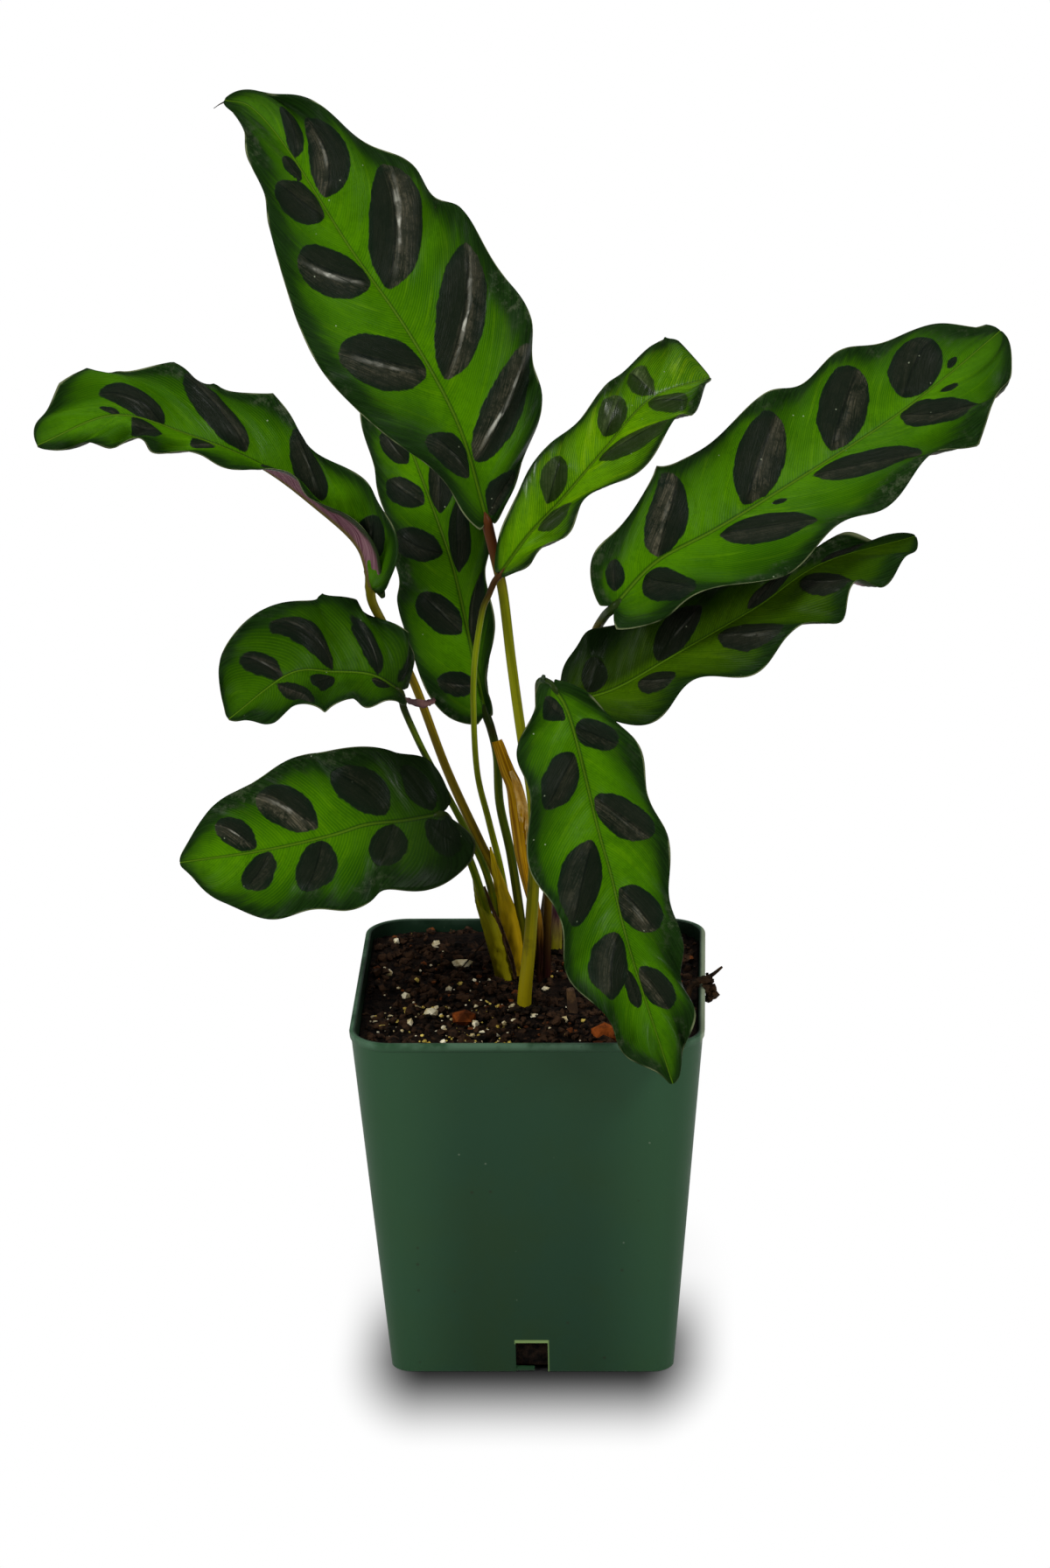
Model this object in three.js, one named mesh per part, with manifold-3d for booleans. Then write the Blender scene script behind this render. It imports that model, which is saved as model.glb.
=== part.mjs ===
// Rattlesnake plant in a square nursery pot.
// Millimetres, +Z up. The origin is the middle of the pot's flat underside, and -Y is the front.

import * as THREE from 'three';
import { mergeVertices } from 'three/addons/utils/BufferGeometryUtils.js';
import Module from 'manifold-3d';

const wasm = await Module();
wasm.setup();

// Driving dimensions of the pot
const POT_HEIGHT = 105;
const RIM_WIDTH = 100;
const BASE_WIDTH = 81;
const RIM_CORNER = 12;
const BASE_CORNER = 6;
const WALL = 1.2;
const FLOOR = 1.6;
const LIP_HEIGHT = 2.2;
const LIP_OUT = 0.4;
const NOTCH_WIDTH = 9.2;
const NOTCH_HEIGHT = 9.5;
const NOTCH_DEPTH = 5;
const OVERRUN = 2;
const POT_SIDES = 36;

// Driving dimensions of the soil
const GAP = 0.4;
const SOIL_TOP = 100.5;
const SOIL_SLOPE = 0.02;
const SOIL_RINGS = 13;
const SOIL_SIDES = 52;
const MOUND_X = -2;
const MOUND_Y = 5;
const MOUND_HEIGHT = 1.5;
const MOUND_SPREAD = 18;
const PERLITE_COUNT = 46;

// Driving dimensions that all blades share
const BLADE_THICKNESS = 0.7;
const RIB_BASE = 1.1;
const BASE_HALF = 1.0;
const TIP_HALF = 0.3;
const LOBE_LENGTH = 0.33;
const BLADE_STEPS = 34;
const BLADE_ACROSS = 3;

const COLOURS = {
  pot: 0x2b5042,
  soil: 0x2a1c14,
  blade: 0x3f6d14,
  young: 0x6f9a22,
  stem: 0x7b7a1c,
  sheath: 0x9a6a22,
  shoot: 0x6a4a4e,
  bark: 0x7a3a20,
  twig: 0x3a2a1a,
};

// Each blade has its midrib from base to tip, which way its upper face looks at the base, middle
// and tip, the half-widths at eighths of the way for each side, how far each half is lifted at the
// base, middle and tip in degrees, and where its margin ripples. Left and right are the blade's
// own, seen on its upper face with the tip away.
const LEAVES = {
  leaf_1: {
    midrib: [
      [-11, 12, 239], [-18.5, 15, 265.5], [-32, 22, 290], [-49, 33, 312.5],
      [-66.5, 46, 337.5], [-77, 54, 348], [-85, 58, 349.5],
    ],
    face: [[0.3, -0.85, 0.35], [0.4, -0.85, 0.35], [0.3, -0.8, 0.5]],
    right: { half: [6.5, 20, 30.5, 31.5, 25.5, 14, 4.5], lift: [20, 18, 15], curl: 0.4, lobe: 2,
      ripples: [0.025, 0.18, 0.305, 0.535, 0.675, 0.87], wave: 3.5, scallop: -0.1, sweep: 0.19 },
    left: { half: [5.5, 13, 28.5, 29.5, 18.5, 11, 4], lift: [25, 25, 20], curl: 0.4, lobe: 3,
      ripples: [0.195, 0.4, 0.69, 0.835], wave: 1.5, scallop: 1.3, sweep: 0.14 },
  },
  leaf_2: {
    midrib: [
      [-43, -8, 226], [-46, -10, 238], [-58, -12, 251], [-72, -18, 264],
      [-90, -26, 274.5], [-109, -36, 283], [-129, -46, 277.5],
    ],
    face: [[-0.35, -0.75, 0.5], [0, -0.55, 0.85], [-0.35, -0.6, 0.75]],
    right: { half: [9, 12.5, 12.5, 17, 16.5, 12.5, 8], lift: [40, 25, 10], curl: 0.15, lobe: 2,
      ripples: [0.075, 0.205, 0.435, 0.675, 0.865], wave: 2.5, scallop: 0.2, sweep: 0.15 },
    left: { half: [8, 6, 7, 11.5, 11, 9.5, 4], lift: [180, 38, -8], curl: 0.15, lobe: 4,
      ripples: [-0.1, 0.17, 0.395, 0.645, 0.78], wave: 2.5, scallop: 0.6, sweep: 0.15 },
  },
  leaf_3: {
    midrib: [
      [-35, -10, 195.5], [-42.5, -14, 201.5], [-53, -20, 204.5], [-64.5, -28, 206.5],
      [-80.5, -40, 197.5],
    ],
    face: [[-0.2, -0.6, 0.75], [-0.1, -0.7, 0.7], [-0.4, -0.7, 0.6]],
    right: { half: [10, 15, 21, 20, 18.5, 13.5, 4.5], lift: [25, 20, 10], curl: 0.3, lobe: 2,
      ripples: [0.135, 0.27, 0.6, 0.865], wave: 2.5, scallop: -0.9, sweep: 0.15 },
    left: { half: [4, 8.5, 12, 14, 15, 9, 4], lift: [25, 20, 10], curl: 0.3, lobe: 4,
      ripples: [0.085, 0.42, 0.75, 1.01], wave: 2.5, scallop: -0.9, sweep: 0.15 },
  },
  leaf_4: {
    midrib: [
      [-23.5, -14, 160.5], [-34.5, -17, 159.5], [-45, -19, 159], [-55.5, -20, 156],
      [-74, -22, 152.5], [-97.5, -22, 149],
    ],
    face: [[0.1, -0.8, 0.55], [0, -0.8, 0.6], [-0.2, -0.8, 0.5]],
    right: { half: [14, 18.5, 22, 23.5, 19, 14.5, 5], lift: [15, 12, 8], curl: 0.3, lobe: 3,
      ripples: [0.015, 0.29, 0.535, 0.765], wave: 2, scallop: -0.6, sweep: 0.15 },
    left: { half: [11, 20, 21.5, 22, 19.5, 14, 4], lift: [15, 12, 8], curl: 0.3, lobe: 16,
      ripples: [0, 0.265, 0.55, 0.84], wave: 2, scallop: -0.65, sweep: 0.15 },
  },
  leaf_5: {
    midrib: [
      [-12.5, 20, 179], [-16, 26, 194], [-21.5, 38, 215.5], [-26, 46, 227],
      [-32, 56, 240.5], [-45, 78, 268.5],
    ],
    face: [[-0.1, -0.9, 0.3], [-0.25, -0.85, 0.35], [-0.1, -0.85, 0.45]],
    right: { half: [2, 3.5, 10.5, 14, 15, 12, 5], lift: [25, 20, 10], curl: 0.3, lobe: 2,
      ripples: [0.055, 0.335, 0.545, 0.8], wave: 2.5, scallop: -1.4, sweep: 0.15 },
    left: { half: [10.5, 15.5, 17, 14, 12, 10, 5], lift: [20, 20, 10], curl: 0.3, lobe: 3,
      ripples: [0.08, 0.325, 0.475, 0.64, 0.85], wave: 2, scallop: -0.1, sweep: 0.15 },
  },
  leaf_6: {
    midrib: [
      [-6.5, 2, 226.5], [1, 6, 236], [10, 11, 244.5], [22, 20, 256.5], [35.5, 30, 269], [52, 41, 272],
    ],
    face: [[-0.2, -0.85, 0.5], [-0.1, -0.75, 0.65], [-0.3, -0.6, 0.7]],
    right: { half: [3, 8.5, 7.5, 12, 16, 10.5, 3], lift: [35, 32, 20], curl: 0.3, lobe: 1,
      ripples: [0.14, 0.345, 0.715, 0.99], wave: 3, scallop: -1, sweep: 0.2 },
    left: { half: [3, 7, 12, 11, 10.5, 13, 14], lift: [35, 32, 20], curl: 0.3, lobe: 1,
      ripples: [0.1, 0.415, 0.68, 0.865], wave: 2, scallop: -0.25, sweep: 0.13 },
  },
  leaf_7: {
    midrib: [
      [25, 2, 216.5], [37, 5, 228.5], [54, 12, 236], [78.5, 27, 247],
      [103, 45, 258], [119.5, 57, 267.5], [135.5, 67, 278.5],
    ],
    face: [[-0.25, -0.8, 0.5], [-0.15, -0.8, 0.6], [-0.3, -0.7, 0.65]],
    right: { half: [9.5, 17.5, 23, 22.5, 21, 20.5, 10], lift: [20, 22, 15], curl: 0.3, lobe: 6,
      ripples: [-0.08, 0.18, 0.425, 0.67, 0.865], wave: 3, scallop: -1.3, sweep: 0.23 },
    left: { half: [10.5, 16, 22, 24, 23.5, 19.5, 6.5], lift: [20, 18, 12], curl: 0.3, lobe: 3,
      ripples: [0.045, 0.2, 0.5, 0.705, 0.955], wave: 2.5, scallop: 0.6, sweep: 0.13 },
  },
  leaf_8: {
    midrib: [
      [12.5, -1, 189], [25.5, 1, 192.5], [41.5, 4, 201], [64.5, 10, 213],
      [83.5, 17, 224], [110, 25, 229.5],
    ],
    face: [[-0.2, -0.7, 0.7], [-0.1, -0.6, 0.8], [-0.2, -0.6, 0.8]],
    right: { half: [7, 14.5, 18.5, 22, 22.5, 14.5, 8.5], lift: [25, 30, 20], curl: 0.3, lobe: 2,
      ripples: [0.03, 0.3, 0.575, 0.77], wave: 4, scallop: -1.4, sweep: 0.15 },
    left: { half: [12, 16, 17, 13, 5.5, 3.5, 2], lift: [25, 30, 20], curl: 0.3, lobe: 2,
      ripples: [0.12, 0.36, 0.6, 0.82], wave: 3, scallop: 0.5, sweep: 0.15 },
  },
  leaf_9: {
    midrib: [
      [8, -18, 199.5], [13, -22, 190.5], [20.5, -32, 162], [24, -37, 150.5],
      [29.5, -46, 130.5], [41, -58, 96.5],
    ],
    face: [[0.15, -0.9, 0.35], [0.2, -0.95, 0.3], [0.2, -0.9, 0.4]],
    right: { half: [7, 16, 20.5, 21, 18, 12, 3], lift: [25, 28, 18], curl: 0.3, lobe: 3,
      ripples: [0.03, 0.25, 0.57, 0.8], wave: 4, scallop: -1.5, sweep: 0.12 },
    left: { half: [3, 13, 16.5, 16, 13, 10.5, 4], lift: [25, 28, 18], curl: 0.3, lobe: 3,
      ripples: [0.04, 0.2, 0.435, 0.685, 0.86], wave: 3, scallop: 0.8, sweep: 0.15 },
  },
};

// Each leaf's stalk runs from the base of its blade down into the soil. Its radii are those at the
// blade, halfway and at the foot, and its top end stands a little apart from the blade's base.
const STALKS = {
  leaf_1: { radii: [1.5, 1.5, 2.3], apart: 1.85, path: [
    [-8.5, 11, 227.5], [-6.5, 10, 217.5], [-4.3, 7, 197.5], [-1.5, 3.5, 176], [1, 0.5, 161],
    [1.6, -2.5, 144], [0.3, -7.5, 122], [-1.6, -12.8, 103], [-1.9, -13.4, 84],
  ] },
  leaf_2: { radii: [1.3, 1.3, 2.0], apart: 1.25, path: [
    [-42.5, -5, 220], [-39.5, 0.5, 211], [-32, 4, 193.5], [-23.5, 9, 165.8], [-14.5, 13, 142],
    [-9, 13.8, 128.6], [-5.8, 12.2, 108], [-5, 11.4, 84],
  ] },
  leaf_3: { radii: [1.0, 1.0, 1.5], apart: 1.65, path: [
    [-34.3, -8, 190], [-32, -5, 182.5], [-28.4, -2, 172.9], [-19.3, 5.5, 151], [-12.4, 10, 132.5],
    [-9.3, 12.8, 110], [-8.9, 13.3, 84],
  ] },
  leaf_4: { radii: [1.1, 1.2, 1.5], apart: 1.65, path: [
    [-20.5, -6, 152], [-16.8, 0, 141], [-12.8, 6, 124], [-9, 9.2, 106], [-8.8, 9.6, 84],
  ] },
  leaf_5: { radii: [1.2, 1.3, 1.4], apart: 1.55, path: [
    [-11, 18.5, 174.5], [-9.5, 19, 166.2], [-9, 19.5, 151.8], [-6, 18.5, 136.3], [-3.3, 15.8, 116.7],
    [-2, 13.8, 101], [-1.8, 13.4, 84],
  ] },
  leaf_6: { radii: [0.9, 0.9, 1.3], apart: 1.3, path: [
    [-8.5, 4, 223.5], [-10.5, 6, 218.5], [-12.5, 7, 213], [-15, 9, 197], [-15.6, 11, 182],
    [-15, 14, 162.8], [-12, 16.5, 147], [-8.5, 17.5, 129.5], [-5.5, 15.9, 106], [-5.2, 15.6, 84],
  ] },
  leaf_7: { radii: [1.3, 1.3, 1.6], apart: 1.6, path: [
    [21.8, 8.8, 211], [18.5, 14.6, 202.6], [15.5, 15, 186.8], [11, 14, 163.8], [6.4, 15, 137],
    [2.0, 17.2, 106], [1.8, 17.5, 84],
  ] },
  leaf_8: { radii: [1.2, 1.2, 1.5], apart: 1.65, path: [
    [10.7, 2, 184.5], [9.1, 5, 172.3], [6.2, 9.8, 144.2], [2.9, 12.9, 107], [2.7, 13.3, 84],
  ] },
  leaf_9: { radii: [1.2, 1.2, 1.5], apart: 1.6, path: [
    [4.6, -14, 199.5], [3.8, -8, 193], [4, -2, 174.7], [5.4, 4.2, 141], [4.1, 8.9, 107.8], [4.0, 9.3, 84],
  ] },
};
const STALK_SIDES = 8;
const STALK_STEPS = 13;

// Other pieces that grow from the soil or lie on it
const SMALL_STEMS = {
  dry_sheath: { radii: [1.0, 1.7, 0.8], steps: 12, colour: 'sheath', path: [
    [-9.2, 13, 173], [-6.3, 11.5, 164.5], [-3.8, 10, 157.5], [-0.9, 6, 134.7], [2.3, 4, 119.5],
    [2.2, 5.6, 103], [2.2, 5.8, 90],
  ] },
  new_shoot: { radii: [0.6, 2.3, 1.8], steps: 10, colour: 'shoot', path: [
    [7.2, 30, 121], [6.4, 31, 114], [5.6, 31.6, 104], [5.4, 31.7, 92],
  ] },
  old_stalk: { radii: [1.0, 1.3, 1.2], steps: 4, colour: 'sheath', path: [
    [11.6, -13.8, 107.4], [12.2, -13.6, 101], [12.4, -13.6, 92],
  ] },
  rim_twig: { radii: [0.5, 0.9, 0.8], steps: 8, colour: 'twig', path: [
    [54.8, -1, 109], [52, -3.5, 107.6], [49.2, -5.5, 106.9], [46, -7, 105.6], [44, -7.8, 98],
  ] },
};
const BARK_CHIPS = {
  bark_chip_1: { centre: [-18.3, -21.5, 100.6], size: [3.8, 3.4, 2.2], turn: 0.4 },
  bark_chip_2: { centre: [21.7, -33, 100.3], size: [4.4, 3.2, 2.2], turn: -0.5 },
};

const group = new THREE.Group();

function addPiece(name, geometry, colour, roughness) {
  const material = new THREE.MeshStandardMaterial({ color: colour, roughness, metalness: 0 });
  const mesh = new THREE.Mesh(geometry, material);
  mesh.name = name;
  group.add(mesh);
}

// Seeded draws between 0 and 1
function seeded(seed) {
  let state = seed;
  return () => {
    state = (state * 1664525 + 1013904223) % 4294967296;
    return state / 4294967296;
  };
}

function geometryOf(vertices, triangles) {
  const geometry = new THREE.BufferGeometry();
  geometry.setAttribute('position', new THREE.Float32BufferAttribute(vertices, 3));
  geometry.setIndex(triangles);
  return geometry;
}

function solidOf(geometry) {
  const bare = geometry.clone();
  bare.deleteAttribute('normal');
  bare.deleteAttribute('uv');
  const merged = mergeVertices(bare, 1e-4);
  return new wasm.Manifold(new wasm.Mesh({
    numProp: 3,
    vertProperties: new Float32Array(merged.attributes.position.array),
    triVerts: new Uint32Array(merged.index.array),
  }));
}

function geometryFrom(solid) {
  const mesh = solid.getMesh();
  return geometryOf(Array.from(mesh.vertProperties), Array.from(mesh.triVerts));
}

// A closed skin over rings of points, with a middle point at both ends
function loft(rings, startPoint, endPoint) {
  const sides = rings[0].length;
  const vertices = [];
  const triangles = [];
  rings.forEach((ring) => ring.forEach((point) => vertices.push(point.x, point.y, point.z)));
  const start = rings.length * sides;
  const end = start + 1;
  vertices.push(startPoint.x, startPoint.y, startPoint.z, endPoint.x, endPoint.y, endPoint.z);
  const lastRing = (rings.length - 1) * sides;
  for (let k = 0; k < sides; k += 1) {
    const next = (k + 1) % sides;
    triangles.push(start, next, k);
    triangles.push(end, lastRing + k, lastRing + next);
    for (let i = 0; i + 1 < rings.length; i += 1) {
      const a = i * sides + k;
      const b = i * sides + next;
      triangles.push(a, b, b + sides, a, b + sides, a + sides);
    }
  }
  return geometryOf(vertices, triangles);
}

// The value at s of three values given at 0, 0.5 and 1
function throughThree([a, b, c], s) {
  return a * (1 - s) * (1 - 2 * s) + b * 4 * s * (1 - s) + c * s * (2 * s - 1);
}

function cubicBetween(p0, p1, p2, p3, w) {
  const t0 = (p2 - p0) / 2;
  const t1 = (p3 - p1) / 2;
  return p1 + t0 * w + (-3 * p1 + 3 * p2 - 2 * t0 - t1) * w * w + (2 * p1 - 2 * p2 + t0 + t1) * w ** 3;
}

// Half-width at s, from the values at eighths of a half turn, with round ends
function halfWidth(half, s) {
  const values = [-half[0], 0, ...half, 0, -half[half.length - 1]];
  const place = (Math.acos(1 - 2 * s) / Math.PI) * (half.length + 1);
  const k = Math.min(Math.floor(place), half.length);
  return cubicBetween(values[k], values[k + 1], values[k + 2], values[k + 3], place - k);
}

// Which ripple the margin station v is at, counted in whole ripples
function rippleCount(stations, v) {
  const last = stations.length - 1;
  if (v < stations[0]) return (v - stations[0]) / (stations[1] - stations[0]);
  if (v > stations[last]) return last + (v - stations[last]) / (stations[last] - stations[last - 1]);
  let k = 0;
  while (k < last - 1 && v > stations[k + 1]) k += 1;
  return k + (v - stations[k]) / (stations[k + 1] - stations[k]);
}

function smoothStep(x) {
  const t = Math.min(Math.max(x, 0), 1);
  return t * t * (3 - 2 * t);
}

// The point of a blade at s along its midrib and t across it, from -1 at the left margin to 1 at
// the right one. Each half is lifted by its angle, with a cosine ripple that grows to the margin.
// A base lobe reaches back as far as it reaches out, up to its own length.
function bladePoint(leaf, curve, s, t) {
  const side = t > 0 ? leaf.right : leaf.left;
  const out = Math.abs(t);
  const along = new THREE.Vector3().subVectors(
    curve.getPointAt(Math.min(s + 0.004, 1)),
    curve.getPointAt(Math.max(s - 0.004, 0)),
  ).normalize();
  const face = new THREE.Vector3(...[0, 1, 2].map((n) => throughThree(leaf.face.map((f) => f[n]), s)));
  const across = new THREE.Vector3().crossVectors(along, face).normalize();
  const up = new THREE.Vector3().crossVectors(across, along);
  const sweep = side.sweep * (0.7 + 0.6 * s);
  const margin = s + sweep * (1 - out ** 1.3);
  const fade = smoothStep(s / 0.1) * smoothStep((1 - s) / 0.1);
  const ripple = Math.cos(2 * Math.PI * rippleCount(side.ripples, margin)) * fade;
  const half = halfWidth(side.half, s) + BASE_HALF * (1 - s) + TIP_HALF * s;
  const reach = half * out + side.scallop * out * out * ripple;
  const lift = THREE.MathUtils.degToRad(throughThree(side.lift, s) * (1 - side.curl * out));
  const back = -Math.min(reach, side.lobe) * out ** 1.5 * Math.max(1 - s / LOBE_LENGTH, 0) ** 2;
  return curve.getPointAt(s)
    .addScaledVector(across, Math.sign(t) * reach * Math.cos(lift))
    .addScaledVector(up, reach * Math.sin(lift) + side.wave * out ** 1.6 * ripple)
    .addScaledVector(along, back);
}

// A blade is a thin sheet with its midrib raised below. Both faces are split alike.
function makeBlade(leaf) {
  const curve = new THREE.CatmullRomCurve3(
    leaf.midrib.map((p) => new THREE.Vector3(...p)), false, 'catmullrom', 0.5,
  );
  const rows = BLADE_STEPS + 1;
  const columns = 2 * BLADE_ACROSS + 1;
  const middle = [];
  for (let i = 0; i < rows; i += 1) {
    const s = (1 - Math.cos((Math.PI * i) / BLADE_STEPS)) / 2;
    for (let j = 0; j < columns; j += 1) {
      const t = j / BLADE_ACROSS - 1;
      middle.push(bladePoint(leaf, curve, s, Math.sign(t) * Math.abs(t) ** 0.85));
    }
  }
  const inside = (n, count) => Math.min(Math.max(n, 0), count - 1);
  const at = (i, j) => middle[inside(i, rows) * columns + inside(j, columns)];
  const upper = [];
  const lower = [];
  for (let i = 0; i < rows; i += 1) {
    for (let j = 0; j < columns; j += 1) {
      const alongEdge = new THREE.Vector3().subVectors(at(i + 1, j), at(i - 1, j));
      const acrossEdge = new THREE.Vector3().subVectors(at(i, j + 1), at(i, j - 1));
      const normal = new THREE.Vector3().crossVectors(acrossEdge, alongEdge).normalize();
      const rib = j === BLADE_ACROSS ? RIB_BASE * (1 - i / rows) : 0;
      upper.push(at(i, j).clone().addScaledVector(normal, BLADE_THICKNESS / 2));
      lower.push(at(i, j).clone().addScaledVector(normal, -BLADE_THICKNESS / 2 - rib));
    }
  }
  const vertices = [...upper, ...lower].flatMap((p) => [p.x, p.y, p.z]);
  const triangles = [];
  const below = rows * columns;
  for (let i = 0; i + 1 < rows; i += 1) {
    for (let j = 0; j + 1 < columns; j += 1) {
      const a = i * columns + j;
      const b = a + 1;
      const c = a + columns;
      const d = c + 1;
      triangles.push(a, b, d, a, d, c);
      triangles.push(a + below, d + below, b + below, a + below, c + below, d + below);
    }
  }
  const edge = [];
  for (let j = 0; j < columns - 1; j += 1) edge.push(j);
  for (let i = 0; i < rows - 1; i += 1) edge.push(i * columns + columns - 1);
  for (let j = columns - 1; j > 0; j -= 1) edge.push((rows - 1) * columns + j);
  for (let i = rows - 1; i > 0; i -= 1) edge.push(i * columns);
  edge.forEach((a, k) => {
    const b = edge[(k + 1) % edge.length];
    triangles.push(a, a + below, b + below, a, b + below, b);
  });
  return geometryOf(vertices, triangles);
}

// A round stem along a path, whose radius follows three values. It can be grown all round and at
// its foot, to cut the hole that it stands in.
function makeStem(stem, extra = 0) {
  const path = stem.path.map((p) => new THREE.Vector3(...p));
  path[path.length - 1].z -= extra;
  const curve = new THREE.CatmullRomCurve3(path, false, 'catmullrom', 0.5);
  const side = new THREE.Vector3(1, 0, 0);
  const rings = [];
  for (let i = 0; i <= stem.steps; i += 1) {
    const s = i / stem.steps;
    const along = curve.getTangentAt(s);
    const u = new THREE.Vector3().crossVectors(along, side).normalize();
    const v = new THREE.Vector3().crossVectors(along, u);
    const radius = throughThree(stem.radii, s) + extra;
    const centre = curve.getPointAt(s);
    rings.push(Array.from({ length: STALK_SIDES }, (_, k) => {
      const turn = (2 * Math.PI * k) / STALK_SIDES;
      return centre.clone()
        .addScaledVector(u, radius * Math.cos(turn))
        .addScaledVector(v, radius * Math.sin(turn));
    }));
  }
  return loft(rings, curve.getPointAt(0), curve.getPointAt(1));
}

// A level ring of a square with round corners
function squareRing(width, corner, z, sides) {
  const perCorner = sides / 4;
  const ring = [];
  for (let quarter = 0; quarter < 4; quarter += 1) {
    const base = (quarter * Math.PI) / 2;
    const cx = (width / 2 - corner) * Math.SQRT2 * Math.cos(base + Math.PI / 4);
    const cy = (width / 2 - corner) * Math.SQRT2 * Math.sin(base + Math.PI / 4);
    for (let k = 0; k < perCorner; k += 1) {
      const turn = base + (k / (perCorner - 1)) * (Math.PI / 2);
      ring.push(new THREE.Vector3(cx + corner * Math.cos(turn), cy + corner * Math.sin(turn), z));
    }
  }
  return ring;
}

const wallWidth = (z) => BASE_WIDTH + ((RIM_WIDTH - 2 * LIP_OUT - BASE_WIDTH) * z) / POT_HEIGHT;
const wallCorner = (z) => BASE_CORNER + ((RIM_CORNER - BASE_CORNER) * z) / POT_HEIGHT;

function makePot() {
  const lipBase = POT_HEIGHT - LIP_HEIGHT;
  const outer = (z, extra = 0) => squareRing(wallWidth(z) + 2 * extra, wallCorner(z) + extra, z, POT_SIDES);
  const inner = (z) => squareRing(wallWidth(z) - 2 * WALL, wallCorner(z) - WALL, z, POT_SIDES);
  const rings = [
    outer(0), outer(lipBase), outer(lipBase + 0.3, LIP_OUT), outer(POT_HEIGHT, LIP_OUT),
    inner(POT_HEIGHT), inner(FLOOR),
  ];
  let pot = solidOf(loft(rings, new THREE.Vector3(0, 0, 0), new THREE.Vector3(0, 0, FLOOR)));
  const size = new THREE.BoxGeometry(NOTCH_WIDTH, NOTCH_DEPTH + 2 * OVERRUN, 2 * NOTCH_HEIGHT);
  for (let quarter = 0; quarter < 4; quarter += 1) {
    const notch = size.clone();
    notch.translate(0, -(BASE_WIDTH / 2 - NOTCH_DEPTH / 2 + OVERRUN), 0);
    notch.rotateZ((quarter * Math.PI) / 2);
    pot = pot.subtract(solidOf(notch));
  }
  return geometryFrom(pot);
}

// The soil's bumps, with perlite grains raised on it
const grainDraw = seeded(7);
const GRAINS = Array.from({ length: PERLITE_COUNT }, () => ({
  x: (grainDraw() - 0.5) * 84,
  y: (grainDraw() - 0.5) * 84,
  r: 1.4 + 1.5 * grainDraw(),
}));

function soilHeight(x, y) {
  const mound = MOUND_HEIGHT * Math.exp(-((x - MOUND_X) ** 2 + (y - MOUND_Y) ** 2) / MOUND_SPREAD ** 2);
  const broad = 0.5 * Math.sin(0.42 * x + 1.3) * Math.sin(0.37 * y + 0.4);
  const bumps = broad + 0.35 * Math.sin(0.9 * x - 0.7 * y);
  const grains = GRAINS.reduce((top, g) => {
    const far = Math.hypot(x - g.x, y - g.y) / g.r;
    return Math.max(top, far < 1 ? 0.7 * g.r * Math.sqrt(1 - far * far) : 0);
  }, 0);
  return SOIL_TOP + SOIL_SLOPE * y + mound + bumps + grains;
}

function makeSoil(holes) {
  const inset = WALL + GAP;
  const ringAt = (z, share) => {
    const width = (wallWidth(z) - 2 * inset) * share;
    return squareRing(width, Math.max(wallCorner(z) - inset, 1) * share, z, SOIL_SIDES);
  };
  const bottom = FLOOR + GAP;
  const rings = [ringAt(bottom, 1), ringAt(SOIL_TOP - 1.5, 1)];
  for (let i = 0; i < SOIL_RINGS; i += 1) {
    const ring = ringAt(SOIL_TOP, 0.985 * (1 - i / SOIL_RINGS));
    ring.forEach((point) => { point.z = soilHeight(point.x, point.y); });
    rings.push(ring);
  }
  const underside = new THREE.Vector3(0, 0, bottom);
  const peak = new THREE.Vector3(0, 0, soilHeight(0, 0));
  let soil = solidOf(loft(rings, underside, peak));
  holes.forEach((hole) => { soil = soil.subtract(solidOf(hole)); });
  return geometryFrom(soil);
}

// A bark chip is a flattened lump with a few flat faces
function makeChip(chip, extra = 0) {
  const geometry = new THREE.SphereGeometry(1, 9, 6);
  geometry.scale(...chip.size.map((half) => half + extra));
  geometry.rotateZ(chip.turn);
  geometry.translate(...chip.centre);
  return geometry;
}

// The whole path of a leaf's stalk, whose top end stops just short of the blade's base
function stalkOf(name) {
  const stalk = STALKS[name];
  const base = new THREE.Vector3(...LEAVES[name].midrib[0]);
  const next = new THREE.Vector3(...stalk.path[0]);
  const top = base.clone().addScaledVector(next.sub(base).normalize(), stalk.apart);
  return { radii: stalk.radii, steps: STALK_STEPS, path: [top.toArray(), ...stalk.path] };
}

const stalks = Object.keys(STALKS).map((name) => ({
  name: name.replace('leaf', 'petiole'),
  stem: stalkOf(name),
}));
const holes = [
  ...stalks.map(({ stem }) => makeStem(stem, GAP)),
  ...Object.values(SMALL_STEMS).map((stem) => makeStem(stem, GAP)),
  ...Object.values(BARK_CHIPS).map((chip) => makeChip(chip, GAP)),
];

addPiece('pot', makePot(), COLOURS.pot, 0.45);
addPiece('soil', makeSoil(holes), COLOURS.soil, 0.95);
Object.entries(LEAVES).forEach(([name, leaf]) => {
  const colour = name === 'leaf_6' ? COLOURS.young : COLOURS.blade;
  addPiece(name, makeBlade(leaf), colour, 0.4);
});
stalks.forEach(({ name, stem }) => addPiece(name, makeStem(stem), COLOURS.stem, 0.5));
Object.entries(SMALL_STEMS).forEach(([name, stem]) => {
  addPiece(name, makeStem(stem), COLOURS[stem.colour], 0.8);
});
Object.entries(BARK_CHIPS).forEach(([name, chip]) => {
  addPiece(name, geometryFrom(solidOf(makeChip(chip))), COLOURS.bark, 0.9);
});

export default group;
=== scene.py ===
"""Looks of the rattlesnake plant in its square nursery pot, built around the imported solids."""

import math
from types import SimpleNamespace

import bpy
import numpy as np
from mathutils import Matrix, Vector


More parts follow.
